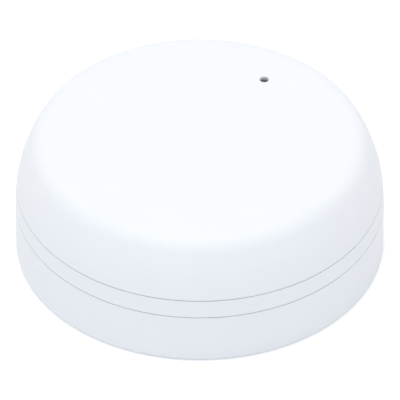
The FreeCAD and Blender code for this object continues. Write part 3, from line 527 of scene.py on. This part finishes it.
class Piece:
    """One mesh on the bench, shaped with Blender's own operators."""

    finishes: ClassVar[dict[str, bpy.types.Material]] = {}

    def __init__(self, name: str) -> None:
        """Takes the object that an operator has just added and puts its place into its mesh.

        Args:
            name: The piece's name.
        """
        self.object = bpy.context.object
        self.object.name = name
        self.settle()

    @staticmethod
    def block(name: str, low: Vector, high: Vector) -> "Piece":
        """Makes a block.

        Args:
            name: The piece's name.
            low: Its lowest corner.
            high: Its highest corner.

        Returns:
            The block.
        """
        bpy.ops.mesh.primitive_cube_add(size=1.0, location=(low + high) / 2)
        bpy.context.object.scale = high - low
        return Piece(name)

    @staticmethod
    def rod(name: str, radius: float, foot: Vector, length: float, sides: int = 24) -> "Piece":
        """Makes an upright rod.

        Args:
            name: The piece's name.
            radius: Its radius.
            foot: The middle of its lower end.
            length: Its length.
            sides: Number of its sides.

        Returns:
            The rod.
        """
        bpy.ops.mesh.primitive_cylinder_add(vertices=sides, radius=radius, depth=length,
                                            location=foot + Vector((0, 0, length / 2)))
        return Piece(name)

    @staticmethod
    def strip(name: str, width: float, sheet: float, line: list[Vector]) -> "Piece":
        """Sheet metal bent along a line that lies over the X axis.

        Args:
            name: The piece's name.
            width: Its width, along Y.
            sheet: Its thickness.
            line: Its corners. The first run is level and leads towards +X.

        Returns:
            The bent strip.
        """
        bpy.ops.mesh.primitive_plane_add(size=1.0, location=(line[0] + line[1]) / 2)
        bpy.context.object.scale = ((line[1] - line[0]).length, width, 1.0)
        piece = Piece(name)
        with piece.at_work():
            for here, there in zip(line[1:], line[2:]):
                piece.pick(Pick.POINTS, lambda place, _: (place - here).xz.length < 0.1 * NEAR)
                piece.extrude(there - here)
        return piece.apply("SOLIDIFY", thickness=sheet, offset=0.0, use_even_offset=True)

    def hold(self) -> None:
        """Makes this the only selected object."""
        bpy.ops.object.select_all(action="DESELECT")
        self.object.select_set(True)
        bpy.context.view_layer.objects.active = self.object

    def settle(self) -> None:
        """Puts the object's place, turn and scale into its mesh."""
        self.hold()
        bpy.ops.object.transform_apply(location=True, rotation=True, scale=True)

    @contextmanager
    def at_work(self) -> Iterator[None]:
        """Keeps the piece in edit mode for a while."""
        self.hold()
        bpy.ops.object.mode_set(mode="EDIT")
        yield
        bpy.ops.object.mode_set(mode="OBJECT")

    def pick(self, kind: Pick, test: Callable[[Vector, Vector], bool]) -> None:
        """Selects what passes a test, in edit mode.

        Args:
            kind: What is selected.
            test: Answers for a middle point and a normal, or an edge's direction.
        """
        bpy.ops.mesh.select_all(action="DESELECT")
        bpy.ops.mesh.select_mode(type=kind.value)
        form = bmesh.from_edit_mesh(self.object.data)
        if kind is Pick.FACES:
            for face in form.faces:
                face.select_set(test(face.calc_center_median(), face.normal))
        elif kind is Pick.EDGES:
            for edge in form.edges:
                first, last = (point.co for point in edge.verts)
                edge.select_set(test((first + last) / 2, (last - first).normalized()))
        else:
            for point in form.verts:
                point.select_set(test(point.co, point.normal))
            form.select_flush(True)
        bmesh.update_edit_mesh(self.object.data)

    def pick_top(self, sign: float = 1.0) -> None:
        """Selects the faces that look straight up, or down for a sign of -1."""
        self.pick(Pick.FACES, lambda _, normal: normal.z * sign > STRAIGHT)

    def extrude(self, move: Union[Vector, Triple]) -> None:
        """Draws the selection out."""
        bpy.ops.mesh.extrude_region_move(TRANSFORM_OT_translate={"value": tuple(move)})

    def resize(self, factors: Triple, centre: Vector = Vector()) -> None:
        """Scales the selection about a point."""
        bpy.ops.transform.resize(value=factors, center_override=tuple(centre))

    def round_corners(self, width: float, segments: int) -> None:
        """Rounds the upright edges, in edit mode."""
        self.pick(Pick.EDGES, upright)
        bpy.ops.mesh.bevel(offset=width, segments=segments, affect="EDGES")

    def apply(self, kind: str, **settings: object) -> "Piece":
        """Adds one modifier and applies it.

        Args:
            kind: The modifier's type.
            **settings: Its properties.

        Returns:
            The same piece.
        """
        self.hold()
        modifier = self.object.modifiers.new(kind.lower(), kind)
        for key, value in settings.items():
            setattr(modifier, key, value)
        bpy.ops.object.modifier_apply(modifier=modifier.name)
        return self

    def soften(self, width: float, segments: int = 2) -> "Piece":
        """Rounds every sharp edge."""
        return self.apply("BEVEL", width=width, segments=segments, limit_method="ANGLE",
                          angle_limit=math.radians(30), use_clamp_overlap=True)

    def cut(self, tool: "Piece") -> "Piece":
        """Takes a tool's form out of the piece and puts the tool away.

        Args:
            tool: The piece that cuts.

        Returns:
            The same piece.
        """
        self.apply("BOOLEAN", operation="DIFFERENCE", object=tool.object, solver="EXACT")
        bpy.data.objects.remove(tool.object)
        return self

    def copy(self, move: Vector, turn: float = 0.0) -> "Piece":
        """Another of the same with its own mesh.

        Args:
            move: How far it is moved.
            turn: Its turn about the upright axis through the origin, made before the move.

        Returns:
            The copy.
        """
        self.hold()
        bpy.ops.object.duplicate(linked=False)
        bpy.context.object.matrix_world = Matrix.Translation(move) @ Matrix.Rotation(turn, 4, "Z")
        return Piece(self.object.name)

    def join(self, others: list["Piece"]) -> "Piece":
        """Takes other pieces into this one.

        Args:
            others: The pieces, which are gone afterwards.

        Returns:
            The same piece.
        """
        self.hold()
        for other in others:
            other.object.select_set(True)
        bpy.ops.object.join()
        return self

    def spread(self, places: list[tuple[Vector, float]]) -> "Piece":
        """Repeats the piece, which was made at the origin, and joins the copies.

        Args:
            places: Where each copy goes, and its turn.

        Returns:
            The joined copies.
        """
        copies = [self.copy(move, turn) for move, turn in places]
        name = self.object.name
        bpy.data.objects.remove(self.object)
        group = copies[0].join(copies[1:])
        group.object.name = name
        return group

    def dress(self, slot: str, stands_for: tuple[str, ...] = (), smooth: float = 35.0) -> None:
        """Cleans the mesh, shades it and gives it its finish.

        Args:
            slot: The record's slot that the piece's finish comes from.
            stands_for: CAD nodes that the piece replaces.
            smooth: Edges under this angle, in degrees, are shaded smooth.
        """
        with self.at_work():
            bpy.ops.mesh.select_all(action="SELECT")
            bpy.ops.mesh.remove_doubles(threshold=0.05 * NEAR)
            bpy.ops.mesh.normals_make_consistent(inside=False)
        bpy.ops.object.shade_smooth_by_angle(angle=math.radians(smooth))
        self.object.data.materials.clear()
        self.object.data.materials.append(self.finishes[slot])
        if stands_for:
            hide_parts(*stands_for)
        log.info("made %s in %s, %d faces", self.object.name, slot, len(self.object.data.polygons))

    def finish(self, slot: str, stands_for: tuple[str, ...] = ()) -> None:
        """Dresses the piece and sets it riding on the detector.

        Args:
            slot: The record's slot that the piece's finish comes from.
            stands_for: CAD nodes that the piece replaces.
        """
        self.dress(slot, stands_for)
        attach(self.object, Body.DETECTOR.value)


def dress_nodes() -> None:
    """Gives every CAD node the finish that the record names for it."""
    for part in frame["record"]["subparts"]:
        for slot in frame["nodes"][part["node"]].material_slots:
            slot.material = Piece.finishes[part["material_slot"]]
        log.info("dressed %s in %s", part["node"], part["material_slot"])


def upright(_: Vector, way: Vector) -> bool:
    """Tells an edge that runs along Z from the others."""
    return abs(way.z) > STRAIGHT


def solids_of(node: str) -> list[tuple[Vector, Vector]]:
    """Boxes of the separate solids in a CAD node.

    Args:
        node: The node's name.

    Returns:
        Lowest and highest corner of each, from -X to +X.
    """
    form = bmesh.new()
    form.from_mesh(frame["nodes"][node].data)
    bmesh.ops.remove_doubles(form, verts=form.verts, dist=0.1 * NEAR)
    waiting = set(form.verts)
    boxes = []
    while waiting:
        to_visit = [waiting.pop()]
        places = []
        while to_visit:
            point = to_visit.pop()
            places.append(point.co.copy())
            near = {edge.other_vert(point) for edge in point.link_edges} & waiting
            waiting -= near
            to_visit.extend(near)
        boxes.append(tuple(Vector(pick(place[axis] for place in places) for axis in range(3))
                           for pick in (min, max)))
    form.free()
    return sorted(boxes, key=lambda box: (round(box[0].x, 5), box[0].y))


def drafted_block(name: str, low: Vector, high: Vector, draft: float, size: Vector) -> Piece:
    """Moulds a block that narrows both ways from a parting line at half its height.

    Args:
        name: The piece's name.
        low: Its lowest corner.
        high: Its highest corner.
        draft: How far its ends stand back.
        size: The size that the draft is measured on.

    Returns:
        The block.
    """
    piece = Piece.block(name, low, high)
    with piece.at_work():
        piece.pick(Pick.EDGES, upright)
        bpy.ops.mesh.subdivide(number_cuts=1)
        for sign in (1.0, -1.0):
            piece.pick_top(sign)
            piece.resize((1 - 2 * draft / size.x, 1 - 2 * draft / size.y, 1.0), (low + high) / 2)
    return piece


@dataclass
class LeadedChip:
    """A moulded chip with gull wing leads, in place of its plain block."""

    node: str
    leads_a_side: int
    pitch: float
    four_sided: bool
    lead_width: float = 0.32 * MM
    lead_sheet: float = 0.14 * MM
    root: float = 0.18 * MM
    reach: float = 1.0 * MM
    shoulder: float = 0.3
    knee: float = 0.45
    stand_off: float = 0.1 * MM
    draft: float = 0.08 * MM
    edge: float = 0.04 * MM
    dimple_radius: float = 0.4 * MM
    dimple_depth: float = 0.08 * MM

    def build_case(self) -> None:
        """Moulds the case, with a dimple at its first lead."""
        low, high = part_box(self.node)
        foot = low + Vector((0, 0, self.stand_off))
        case = drafted_block(f"{self.node}_case", foot, high, self.draft, high - low)
        case.soften(self.edge)
        inset = 3 * self.dimple_radius
        corner = Vector((low.x + inset, high.y - inset, high.z - self.dimple_depth))
        case.cut(Piece.rod("dimple_cutter", self.dimple_radius, corner, self.dimple_depth * 3))
        case.finish("chip_resin", stands_for=(self.node,))

    def build_leads(self) -> None:
        """Bends one lead and sets copies of it along the sides."""
        low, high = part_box(self.node)
        middle, half = (low + high) / 2, (high - low) / 2
        foot = low.z - middle.z + self.lead_sheet / 2
        line = [Vector((x, 0, z)) for x, z in ((-self.root, 0), (self.shoulder * self.reach, 0),
                                               (self.knee * self.reach, foot), (self.reach, foot))]
        lead = Piece.strip(f"{self.node}_leads", self.lead_width, self.lead_sheet, line)
        lead.soften(self.lead_sheet / 4, 1)
        places = []
        for side in range(4) if self.four_sided else (1, 3):
            turn = side * math.pi / 2
            out = half.x if side % 2 == 0 else half.y
            for index in range(self.leads_a_side):
                along = (index - (self.leads_a_side - 1) / 2) * self.pitch
                places.append((middle + Matrix.Rotation(turn, 3, "Z") @ Vector((out, along, 0)), turn))
        lead.spread(places).finish("tinned_sheet")

    def build(self) -> None:
        """Builds the case and its leads."""
        self.build_case()
        self.build_leads()


@dataclass
class Shield:
    """The radio's drawn tin can, with rows of vents in its lid."""

    sheet: float = 0.25 * MM
    corner: float = 0.6 * MM
    vent_radius: float = 0.55 * MM
    columns: int = 5
    rows: int = 4
    margin: float = 2.2 * MM

    def build(self) -> None:
        """Draws the can from a block, opens its foot and pierces its lid."""
        low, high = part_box("rf_shield")
        can = Piece.block("shield_can", low, high)
        with can.at_work():
            can.pick(Pick.EDGES, lambda place, way: upright(place, way) or place.z > high.z - NEAR)
            bpy.ops.mesh.bevel(offset=self.corner, segments=4, affect="EDGES")
            can.pick_top(-1.0)
            bpy.ops.mesh.delete(type="FACE")
        can.apply("SOLIDIFY", thickness=self.sheet, offset=-1.0, use_even_offset=True)
        under = Vector((0, 0, -2 * self.sheet))
        vent = Piece.rod("vent_cutter", self.vent_radius, under, 4 * self.sheet, 16)
        first = Vector((low.x + self.margin, low.y + self.margin, high.z))
        step_x = (high.x - low.x - 2 * self.margin) / (self.columns - 1)
        step_y = (high.y - low.y - 2 * self.margin) / (self.rows - 1)
        places = [(first + Vector((column * step_x, row * step_y, 0)), 0.0)
                  for column in range(self.columns) for row in range(self.rows)]
        can.cut(vent.spread(places)).finish("tinned_sheet", stands_for=("rf_shield",))


@dataclass
class CrystalCan:
    """The resonator's small metal can on its ceramic foot."""

    foot_height: float = 0.3 * MM
    step: float = 0.15 * MM
    corner: float = 0.25 * MM
    edge: float = 0.08 * MM

    def build(self) -> None:
        """Draws the lid out of the foot, a step narrower, and rounds it."""
        low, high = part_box("crystal")
        can = Piece.block("crystal_can", low, Vector((high.x, high.y, low.z + self.foot_height)))
        with can.at_work():
            can.round_corners(self.corner, 3)
            can.pick_top()
            bpy.ops.mesh.inset(thickness=self.step)
            can.extrude((0, 0, high.z - low.z - self.foot_height))
        can.soften(self.edge).finish("nickel", stands_for=("crystal",))


@dataclass
class ReserveCapacitor:
    """The moulded reserve capacitor with a strap folded under each end and a polarity bar set off by a
    groove.
    """

    strap_width: float = 2.4 * MM
    strap_sheet: float = 0.15 * MM
    strap_foot: float = 1.2 * MM
    strap_rise: float = 0.6
    bar_width: float = 0.9 * MM
    groove_width: float = 0.15 * MM
    groove_depth: float = 0.05 * MM
    draft: float = 0.12 * MM
    edge: float = 0.12 * MM

    def build(self) -> None:
        """Moulds the case and folds the two straps."""
        low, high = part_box("reserve_capacitor")
        size, middle = high - low, (low + high) / 2
        inset = Vector((self.strap_sheet, 0, 0))
        case = drafted_block("reserve_capacitor_case", low + inset, high - inset, self.draft, size)
        case.soften(self.edge)
        start = low.x + 2 * self.bar_width
        groove = Piece.block("bar_groove", Vector((start, low.y - MM, high.z - self.groove_depth)),
                             Vector((start + self.groove_width, high.y + MM, high.z + MM)))
        case.cut(groove).finish("chip_resin", stands_for=("reserve_capacitor",))
        half = (size.x - self.strap_sheet) / 2
        sheet = self.strap_sheet / 2
        line = [Vector((half - self.strap_foot, 0, sheet)), Vector((half, 0, sheet)),
                Vector((half, 0, size.z * self.strap_rise))]
        strap = Piece.strip("reserve_capacitor_straps", self.strap_width, self.strap_sheet, line)
        foot = Vector((middle.x, middle.y, low.z))
        strap.spread([(foot, 0.0), (foot, math.pi)]).finish("tinned_sheet")


@dataclass
class EndCaps:
    """Tinned ends and solder of a row of ceramic chips, fitted over their solids."""

    node: str
    along_y: bool
    cap: float = 0.32 * MM
    cap_edge: float = 0.06 * MM
    skin: float = 0.03 * MM
    fillet: float = 0.35 * MM
    fillet_edge: float = 0.05 * MM
    fillet_drop: float = 0.1 * MM

    def build(self) -> None:
        """Forms one cap with its fillet of solder and sets two on every chip."""
        boxes = solids_of(self.node)
        size = boxes[0][1] - boxes[0][0]
        length, width = (size.y, size.x) if self.along_y else (size.x, size.y)
        low = Vector((length / 2 - self.cap, -width / 2 - self.skin, -size.z / 2 + NEAR))
        high = Vector((length, width, size.z)) / 2 + Vector((self.skin, self.skin, self.skin))
        cap = Piece.block(f"{self.node}_ends", low, high).soften(self.cap_edge)
        solder = Piece.block("solder", Vector((high.x - self.fillet_edge, low.y, low.z)),
                             Vector((high.x + self.fillet, high.y, 0.0)))
        with solder.at_work():
            solder.pick(Pick.EDGES, lambda place, way: abs(way.y) > STRAIGHT and place.z > -NEAR
                        and place.x > high.x + NEAR)
            bpy.ops.transform.translate(value=(-self.fillet, 0, -self.fillet_drop))
        cap.join([solder.soften(self.fillet_edge)])
        start = math.pi / 2 if self.along_y else 0.0
        places = [((foot + head) / 2, start + turn) for foot, head in boxes for turn in (0.0, math.pi)]
        cap.spread(places).finish("tinned_sheet")


@dataclass
class StatusLamp:
    """The small status lamp: a clear crowned block between two plated ends."""

    end: float = 0.35 * MM
    end_skin: float = 0.02 * MM
    end_edge: float = 0.05 * MM
    waist: float = 0.15 * MM
    taper: float = 0.72
    crown: float = 0.25 * MM

    def build(self) -> None:
        """Crowns the resin and plates the ends."""
        low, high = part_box("status_led")
        middle = (low + high) / 2
        lens = Piece.block("lamp_lens", low, Vector((high.x, high.y, middle.z)))
        with lens.at_work():
            lens.pick_top()
            bpy.ops.mesh.inset(thickness=self.waist)
            lens.resize((self.taper, 1.0, 1.0), middle)
            lens.extrude((0, 0, high.z - middle.z))
        lens.soften(self.crown, 5).finish("lamp_resin", stands_for=("status_led",))
        half = (high.y - low.y) / 2 + self.end_skin
        plate = Piece.block("lamp_ends", Vector((-self.end / 2, -half, 0)),
                            Vector((self.end / 2, half, self.end)))
        places = [(Vector((x, middle.y, low.z)), 0.0) for x in (low.x, high.x)]
        plate.soften(self.end_edge).spread(places).finish("tinned_sheet")


@dataclass
class ProgrammingHeader:
    """The header's chamfered cells and their square, pointed pins."""

    pitch: float = 2.54 * MM
    cell_chamfer: float = 0.5 * MM
    cell_edge: float = 0.06 * MM
    pin_side: float = 0.62 * MM
    pin_rise: float = 0.9 * MM
    pin_foot: float = 0.1 * MM
    pin_edge: float = 0.04 * MM
    point_height: float = 0.25 * MM
    point_share: float = 0.45

    def build(self) -> None:
        """Builds one cell and one pin and sets both in two rows of three."""
        low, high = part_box("programming_header")
        middle, height = (low + high) / 2, high.z - low.z
        places = [(Vector((middle.x + column * self.pitch, middle.y + line * self.pitch / 2, low.z)), 0.0)
                  for column in (-1, 0, 1) for line in (-1, 1)]
        half = self.pitch / 2 - NEAR
        cell = Piece.block("header_cells", Vector((-half, -half, 0)),
                           Vector((half, half, height - self.pin_rise)))
        with cell.at_work():
            cell.round_corners(self.cell_chamfer, 1)
        cells = cell.soften(self.cell_edge, 1).spread(places)
        cells.finish("switch_plastic", stands_for=("programming_header",))
        side = self.pin_side / 2
        pin = Piece.block("header_pins", Vector((-side, -side, self.pin_foot)),
                          Vector((side, side, height - self.point_height)))
        with pin.at_work():
            pin.pick_top()
            pin.extrude((0, 0, self.point_height))
            pin.resize((self.point_share, self.point_share, 1.0))
        pin.soften(self.pin_edge, 1).spread(places).finish("nickel")


@dataclass
class SolderDomes:
    """Solder round the legs that pass through the board."""

    radius: float = 1.1 * MM
    height: float = 0.55 * MM
    edge: float = 0.12 * MM
    shares: tuple[float, ...] = (0.72, 0.42)
    tail: float = 0.2 * MM
    capsule_pitch: float = 2.54 * MM

    def dome(self, name: str, up: float) -> Piece:
        """One dome at the origin.

        Args:
            name: The piece's name.
            up: 1 for a dome above the board, -1 for one under it.

        Returns:
            The dome.
        """
        step = self.height / (len(self.shares) + 1)
        piece = Piece.rod(name, self.radius, Vector((0, 0, 0 if up > 0 else -step)), step, 20)
        with piece.at_work():
            for share in self.shares:
                piece.pick_top(up)
                piece.extrude((0, 0, up * step))
                piece.resize((share, share, 1.0))
        return piece.soften(self.edge)

    def build(self) -> None:
        """Sets domes on the tails of both contacts and under the microphone."""
        board_low, board_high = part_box("circuit_board")
        above = []
        for node in ("positive_contact", "negative_contact"):
            low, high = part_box(node)
            tail = high.x - self.tail if node == "positive_contact" else low.x + self.tail
            above.append((Vector((tail, (low.y + high.y) / 2, board_high.z)), 0.0))
        self.dome("contact_joints", 1.0).spread(above).finish("tinned_sheet")
        low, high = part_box("microphone_capsule")
        foot = Vector(((low.x + high.x) / 2, (low.y + high.y) / 2, board_low.z))
        below = [(foot + Vector((side * self.capsule_pitch / 2, 0, 0)), 0.0) for side in (-1, 1)]
        self.dome("microphone_joints", -1.0).spread(below).finish("tinned_sheet")


@dataclass
class PortMesh:
    """The port's dust mesh, pressed a little way up into the port, in place of its flat disc."""

    port_radius: float = 1.0 * MM
    rise: float = 1.32 * MM
    play: float = 0.04 * MM
    crown: float = 0.12 * MM
    edge: float = 0.06 * MM

    def build(self) -> None:
        """Draws the middle of the disc up into the port and crowns it."""
        low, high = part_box("acoustic_mesh")
        radius = (high.x - low.x) / 2
        foot = Vector(((low.x + high.x) / 2, (low.y + high.y) / 2, low.z))
        disc = Piece.rod("acoustic_mesh_pressed", radius, foot, high.z - low.z, 48)
        with disc.at_work():
            disc.pick_top()
            bpy.ops.mesh.inset(thickness=radius - self.port_radius + self.play)
            disc.extrude((0, 0, self.rise - self.crown))
            bpy.ops.mesh.inset(thickness=self.crown)
            bpy.ops.transform.translate(value=(0, 0, self.crown))
        disc.soften(self.edge).finish("cloth", stands_for=("acoustic_mesh",))


@dataclass
class SwitchMetal:
    """Steel lid and legs of a push switch that hangs under the board."""

    node: str
    plunger: str
    leg_width: float = 0.7 * MM
    leg_sheet: float = 0.2 * MM
    leg_root: float = 0.1 * MM
    leg_drop: float = 1.2 * MM
    leg_reach: float = 1.0 * MM
    leg_spread: float = 4.5 * MM
    lid_sheet: float = 0.12 * MM
    lid_inset: float = 0.25 * MM
    lid_corner: float = 0.5 * MM
    lid_play: float = 0.15 * MM

    def build(self) -> None:
        """Folds the four legs and stamps the lid round the plunger."""
        low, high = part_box(self.node)
        middle, half = (low + high) / 2, (high - low) / 2
        sheet = self.leg_sheet / 2
        line = [Vector((half.x + x, 0, z)) for x, z in (
            (-self.leg_root, -self.leg_drop), (sheet, -self.leg_drop), (sheet, -sheet),
            (self.leg_reach, -sheet))]
        leg = Piece.strip(f"{self.node}_legs", self.leg_width, self.leg_sheet, line)
        top = Vector((middle.x, middle.y, high.z))
        places = [(top + Vector((0, side * self.leg_spread / 2, 0)), turn)
                  for side in (-1, 1) for turn in (0.0, math.pi)]
        leg.spread(places).finish("nickel")
        inset = Vector((self.lid_inset, self.lid_inset, 0))
        lid = Piece.block(f"{self.node}_lid", low + inset - Vector((0, 0, self.lid_sheet)),
                          Vector((high.x, high.y, low.z)) - inset)
        with lid.at_work():
            lid.round_corners(self.lid_corner, 3)
        plunger_low, plunger_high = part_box(self.plunger)
        hole = (plunger_high.x - plunger_low.x) / 2 + self.lid_play
        cutter = Piece.rod("lid_cutter", hole, Vector((middle.x, middle.y, low.z - MM)), 2 * MM, 32)
        lid.cut(cutter).finish("nickel")


@dataclass
class Screws:
    """Self-tapping screws with a crossed recess and a rolled thread, in place of their plain solids."""

    node: str
    head_radius: float
    shank_radius: float
    head_height: float
    point_up: bool
    head_edge: float = 0.2 * MM
    sink: float = 0.05 * MM
    point: float = 0.7 * MM
    point_share: float = 0.35
    pitch: float = 0.8 * MM
    thread_depth: float = 0.22 * MM
    thread_steps: int = 20
    ridge_share: float = 0.7
    thread_from: float = 0.5 * MM
    thread_end: float = 1.3 * MM
    recess_width: float = 0.5 * MM
    recess_length: float = 1.9 * MM
    recess_depth: float = 0.7 * MM
    recess_share: float = 0.6
    turn_by_place: float = 0.4 / MM

    def thread(self, length: float) -> Piece:
        """The thread's ridge, wound round the shank by the Screw modifier.

        Args:
            length: Length of the shank that is threaded.

        Returns:
            The closed ridge.
        """
        root, ridge = self.shank_radius - self.thread_depth, self.thread_depth * self.ridge_share
        bpy.ops.mesh.primitive_circle_add(vertices=3, radius=ridge, fill_type="NOTHING",
                                          rotation=(math.pi / 2, math.pi / 2, 0))
        bpy.context.object.location = (root + ridge / 2, 0, 0)
        thread = Piece("thread")
        thread.apply("SCREW", axis="Z", angle=2 * math.pi, screw_offset=self.pitch,
                     iterations=int(length / self.pitch), steps=self.thread_steps,
                     render_steps=self.thread_steps, use_merge_vertices=True, merge_threshold=0.1 * NEAR)
        with thread.at_work():
            bpy.ops.mesh.select_all(action="DESELECT")
            bpy.ops.mesh.select_mode(type="EDGE")
            bpy.ops.mesh.select_non_manifold()
            bpy.ops.mesh.edge_face_add()
        return thread

    def head(self) -> Piece:
        """Turns the head, from the origin up, and presses its recess.

        Returns:
            The head.
        """
        head = Piece.rod(self.node + "_threaded", self.head_radius, Vector(), self.head_height, 40)
        head.soften(self.head_edge, 3)
        length, width = self.recess_length / 2, self.recess_width / 2
        for x, y in ((length, width), (width, length)):
            arm = Piece.block("recess_arm", Vector((-x, -y, -MM)), Vector((x, y, self.recess_depth)))
            with arm.at_work():
                arm.pick_top()
                arm.resize((self.recess_share, self.recess_share, 1.0))
            head.cut(arm)
        return head

    def build(self) -> None:
        """Turns one screw, point up, and sets one at each of the node's solids."""
        boxes = solids_of(self.node)
        shank = boxes[0][1].z - boxes[0][0].z - self.head_height
        screw = self.head()
        stem = Piece.rod("stem", self.shank_radius - self.thread_depth,
                         Vector((0, 0, self.head_height - self.sink)), shank - self.point, 24)
        with stem.at_work():
            stem.pick_top()
            stem.extrude((0, 0, self.point + self.sink))
            stem.resize((self.point_share, self.point_share, 1.0))
        thread = self.thread(shank - self.thread_from - self.thread_end)
        screw.join([stem, thread.copy(Vector((0, 0, self.head_height + self.thread_from)))])
        bpy.data.objects.remove(thread.object)
        if not self.point_up:
            screw.object.rotation_euler = (math.pi, 0, 0)
            screw.settle()
        places = []
        for low, high in boxes:
            seat = Vector(((low.x + high.x) / 2, (low.y + high.y) / 2, low.z if self.point_up else high.z))
            places.append((seat, self.turn_by_place * low.x))
        screw.spread(places).finish("zinc_screw", stands_for=(self.node,))


@dataclass
class TamperCoil:
    """The tamper pin's compression spring, of round wire with closed ends, in place of its square coil.

    It runs from the switch to the pin. The lead, meant as a share of the spring's height over its upper
    end where a stretch would start so that this end follows the switch's plunger, is not used.
    """

    wire: float = 0.4 * MM
    sides: int = 10
    steps: int = 24
    working_turns: int = 4
    closed_turns: float = 0.75
    closed_pitch: float = 1.02
    lead: float = 0.4

    def rises(self, height: float) -> list[float]:
        """How much the wire climbs at each step: a wire's width a turn at the ends, evenly between.

        Args:
            height: Height between the middles of the first and the last wire.

        Returns:
            One climb for each step.
        """
        closed = int(self.closed_turns * self.steps)
        flat = [self.wire * self.closed_pitch / self.steps] * closed
        working = self.working_turns * self.steps - 2 * closed
        return flat + [(height - 2 * sum(flat)) / working] * working + flat

    def build(self) -> None:
        """Draws a round section along the coil, step by step."""
        low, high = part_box("tamper_spring")
        middle = (low + high) / 2
        radius = (high.x - low.x - self.wire) / 2
        bpy.ops.mesh.primitive_circle_add(vertices=self.sides, radius=self.wire / 2, fill_type="NGON",
                                          rotation=(math.pi / 2, 0, 0))
        bpy.context.object.location = (middle.x + radius, middle.y, low.z + self.wire / 2)
        coil = Piece("tamper_coil")
        turn = 2 * math.pi / self.steps
        with coil.at_work():
            bpy.ops.mesh.select_mode(type="FACE")
            bpy.ops.mesh.select_all(action="SELECT")
            for rise in self.rises(high.z - low.z - self.wire):
                coil.extrude((0, 0, rise))
                bpy.ops.transform.rotate(value=turn, orient_axis="Z", center_override=tuple(middle))
        coil.dress("spring_steel", ("tamper_spring",), smooth=60.0)
        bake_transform(coil.object)


def main() -> None:
    """Dresses the nodes, builds the pieces and the stage."""
    logging.basicConfig(level=logging.INFO, format="%(name)s: %(message)s")
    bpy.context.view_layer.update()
    Piece.finishes.update((finish.name, finish.material()) for finish in every_finish())
    dress_nodes()
    groups = (
        LeadedChip("processor_chip", leads_a_side=9, pitch=0.8 * MM, four_sided=True),
        LeadedChip("audio_chip", leads_a_side=4, pitch=1.27 * MM, four_sided=False),
        Shield(), CrystalCan(), ReserveCapacitor(),
        EndCaps("chip_capacitors", along_y=False), EndCaps("chip_resistors", along_y=True),
        StatusLamp(), ProgrammingHeader(), SolderDomes(), PortMesh(),
        SwitchMetal("tamper_switch", "tamper_switch_plunger"),
        SwitchMetal("learn_switch", "learn_switch_plunger"),
        Screws("cover_screws", 1.9 * MM, 1.1 * MM, 1.3 * MM, point_up=True),
        Screws("board_screws", 1.7 * MM, 0.9 * MM, 1.1 * MM, point_up=False),
        TamperCoil(),
    )
    for group in groups:
        group.build()
    Studio().build()


if __name__ == "__main__":
    main()
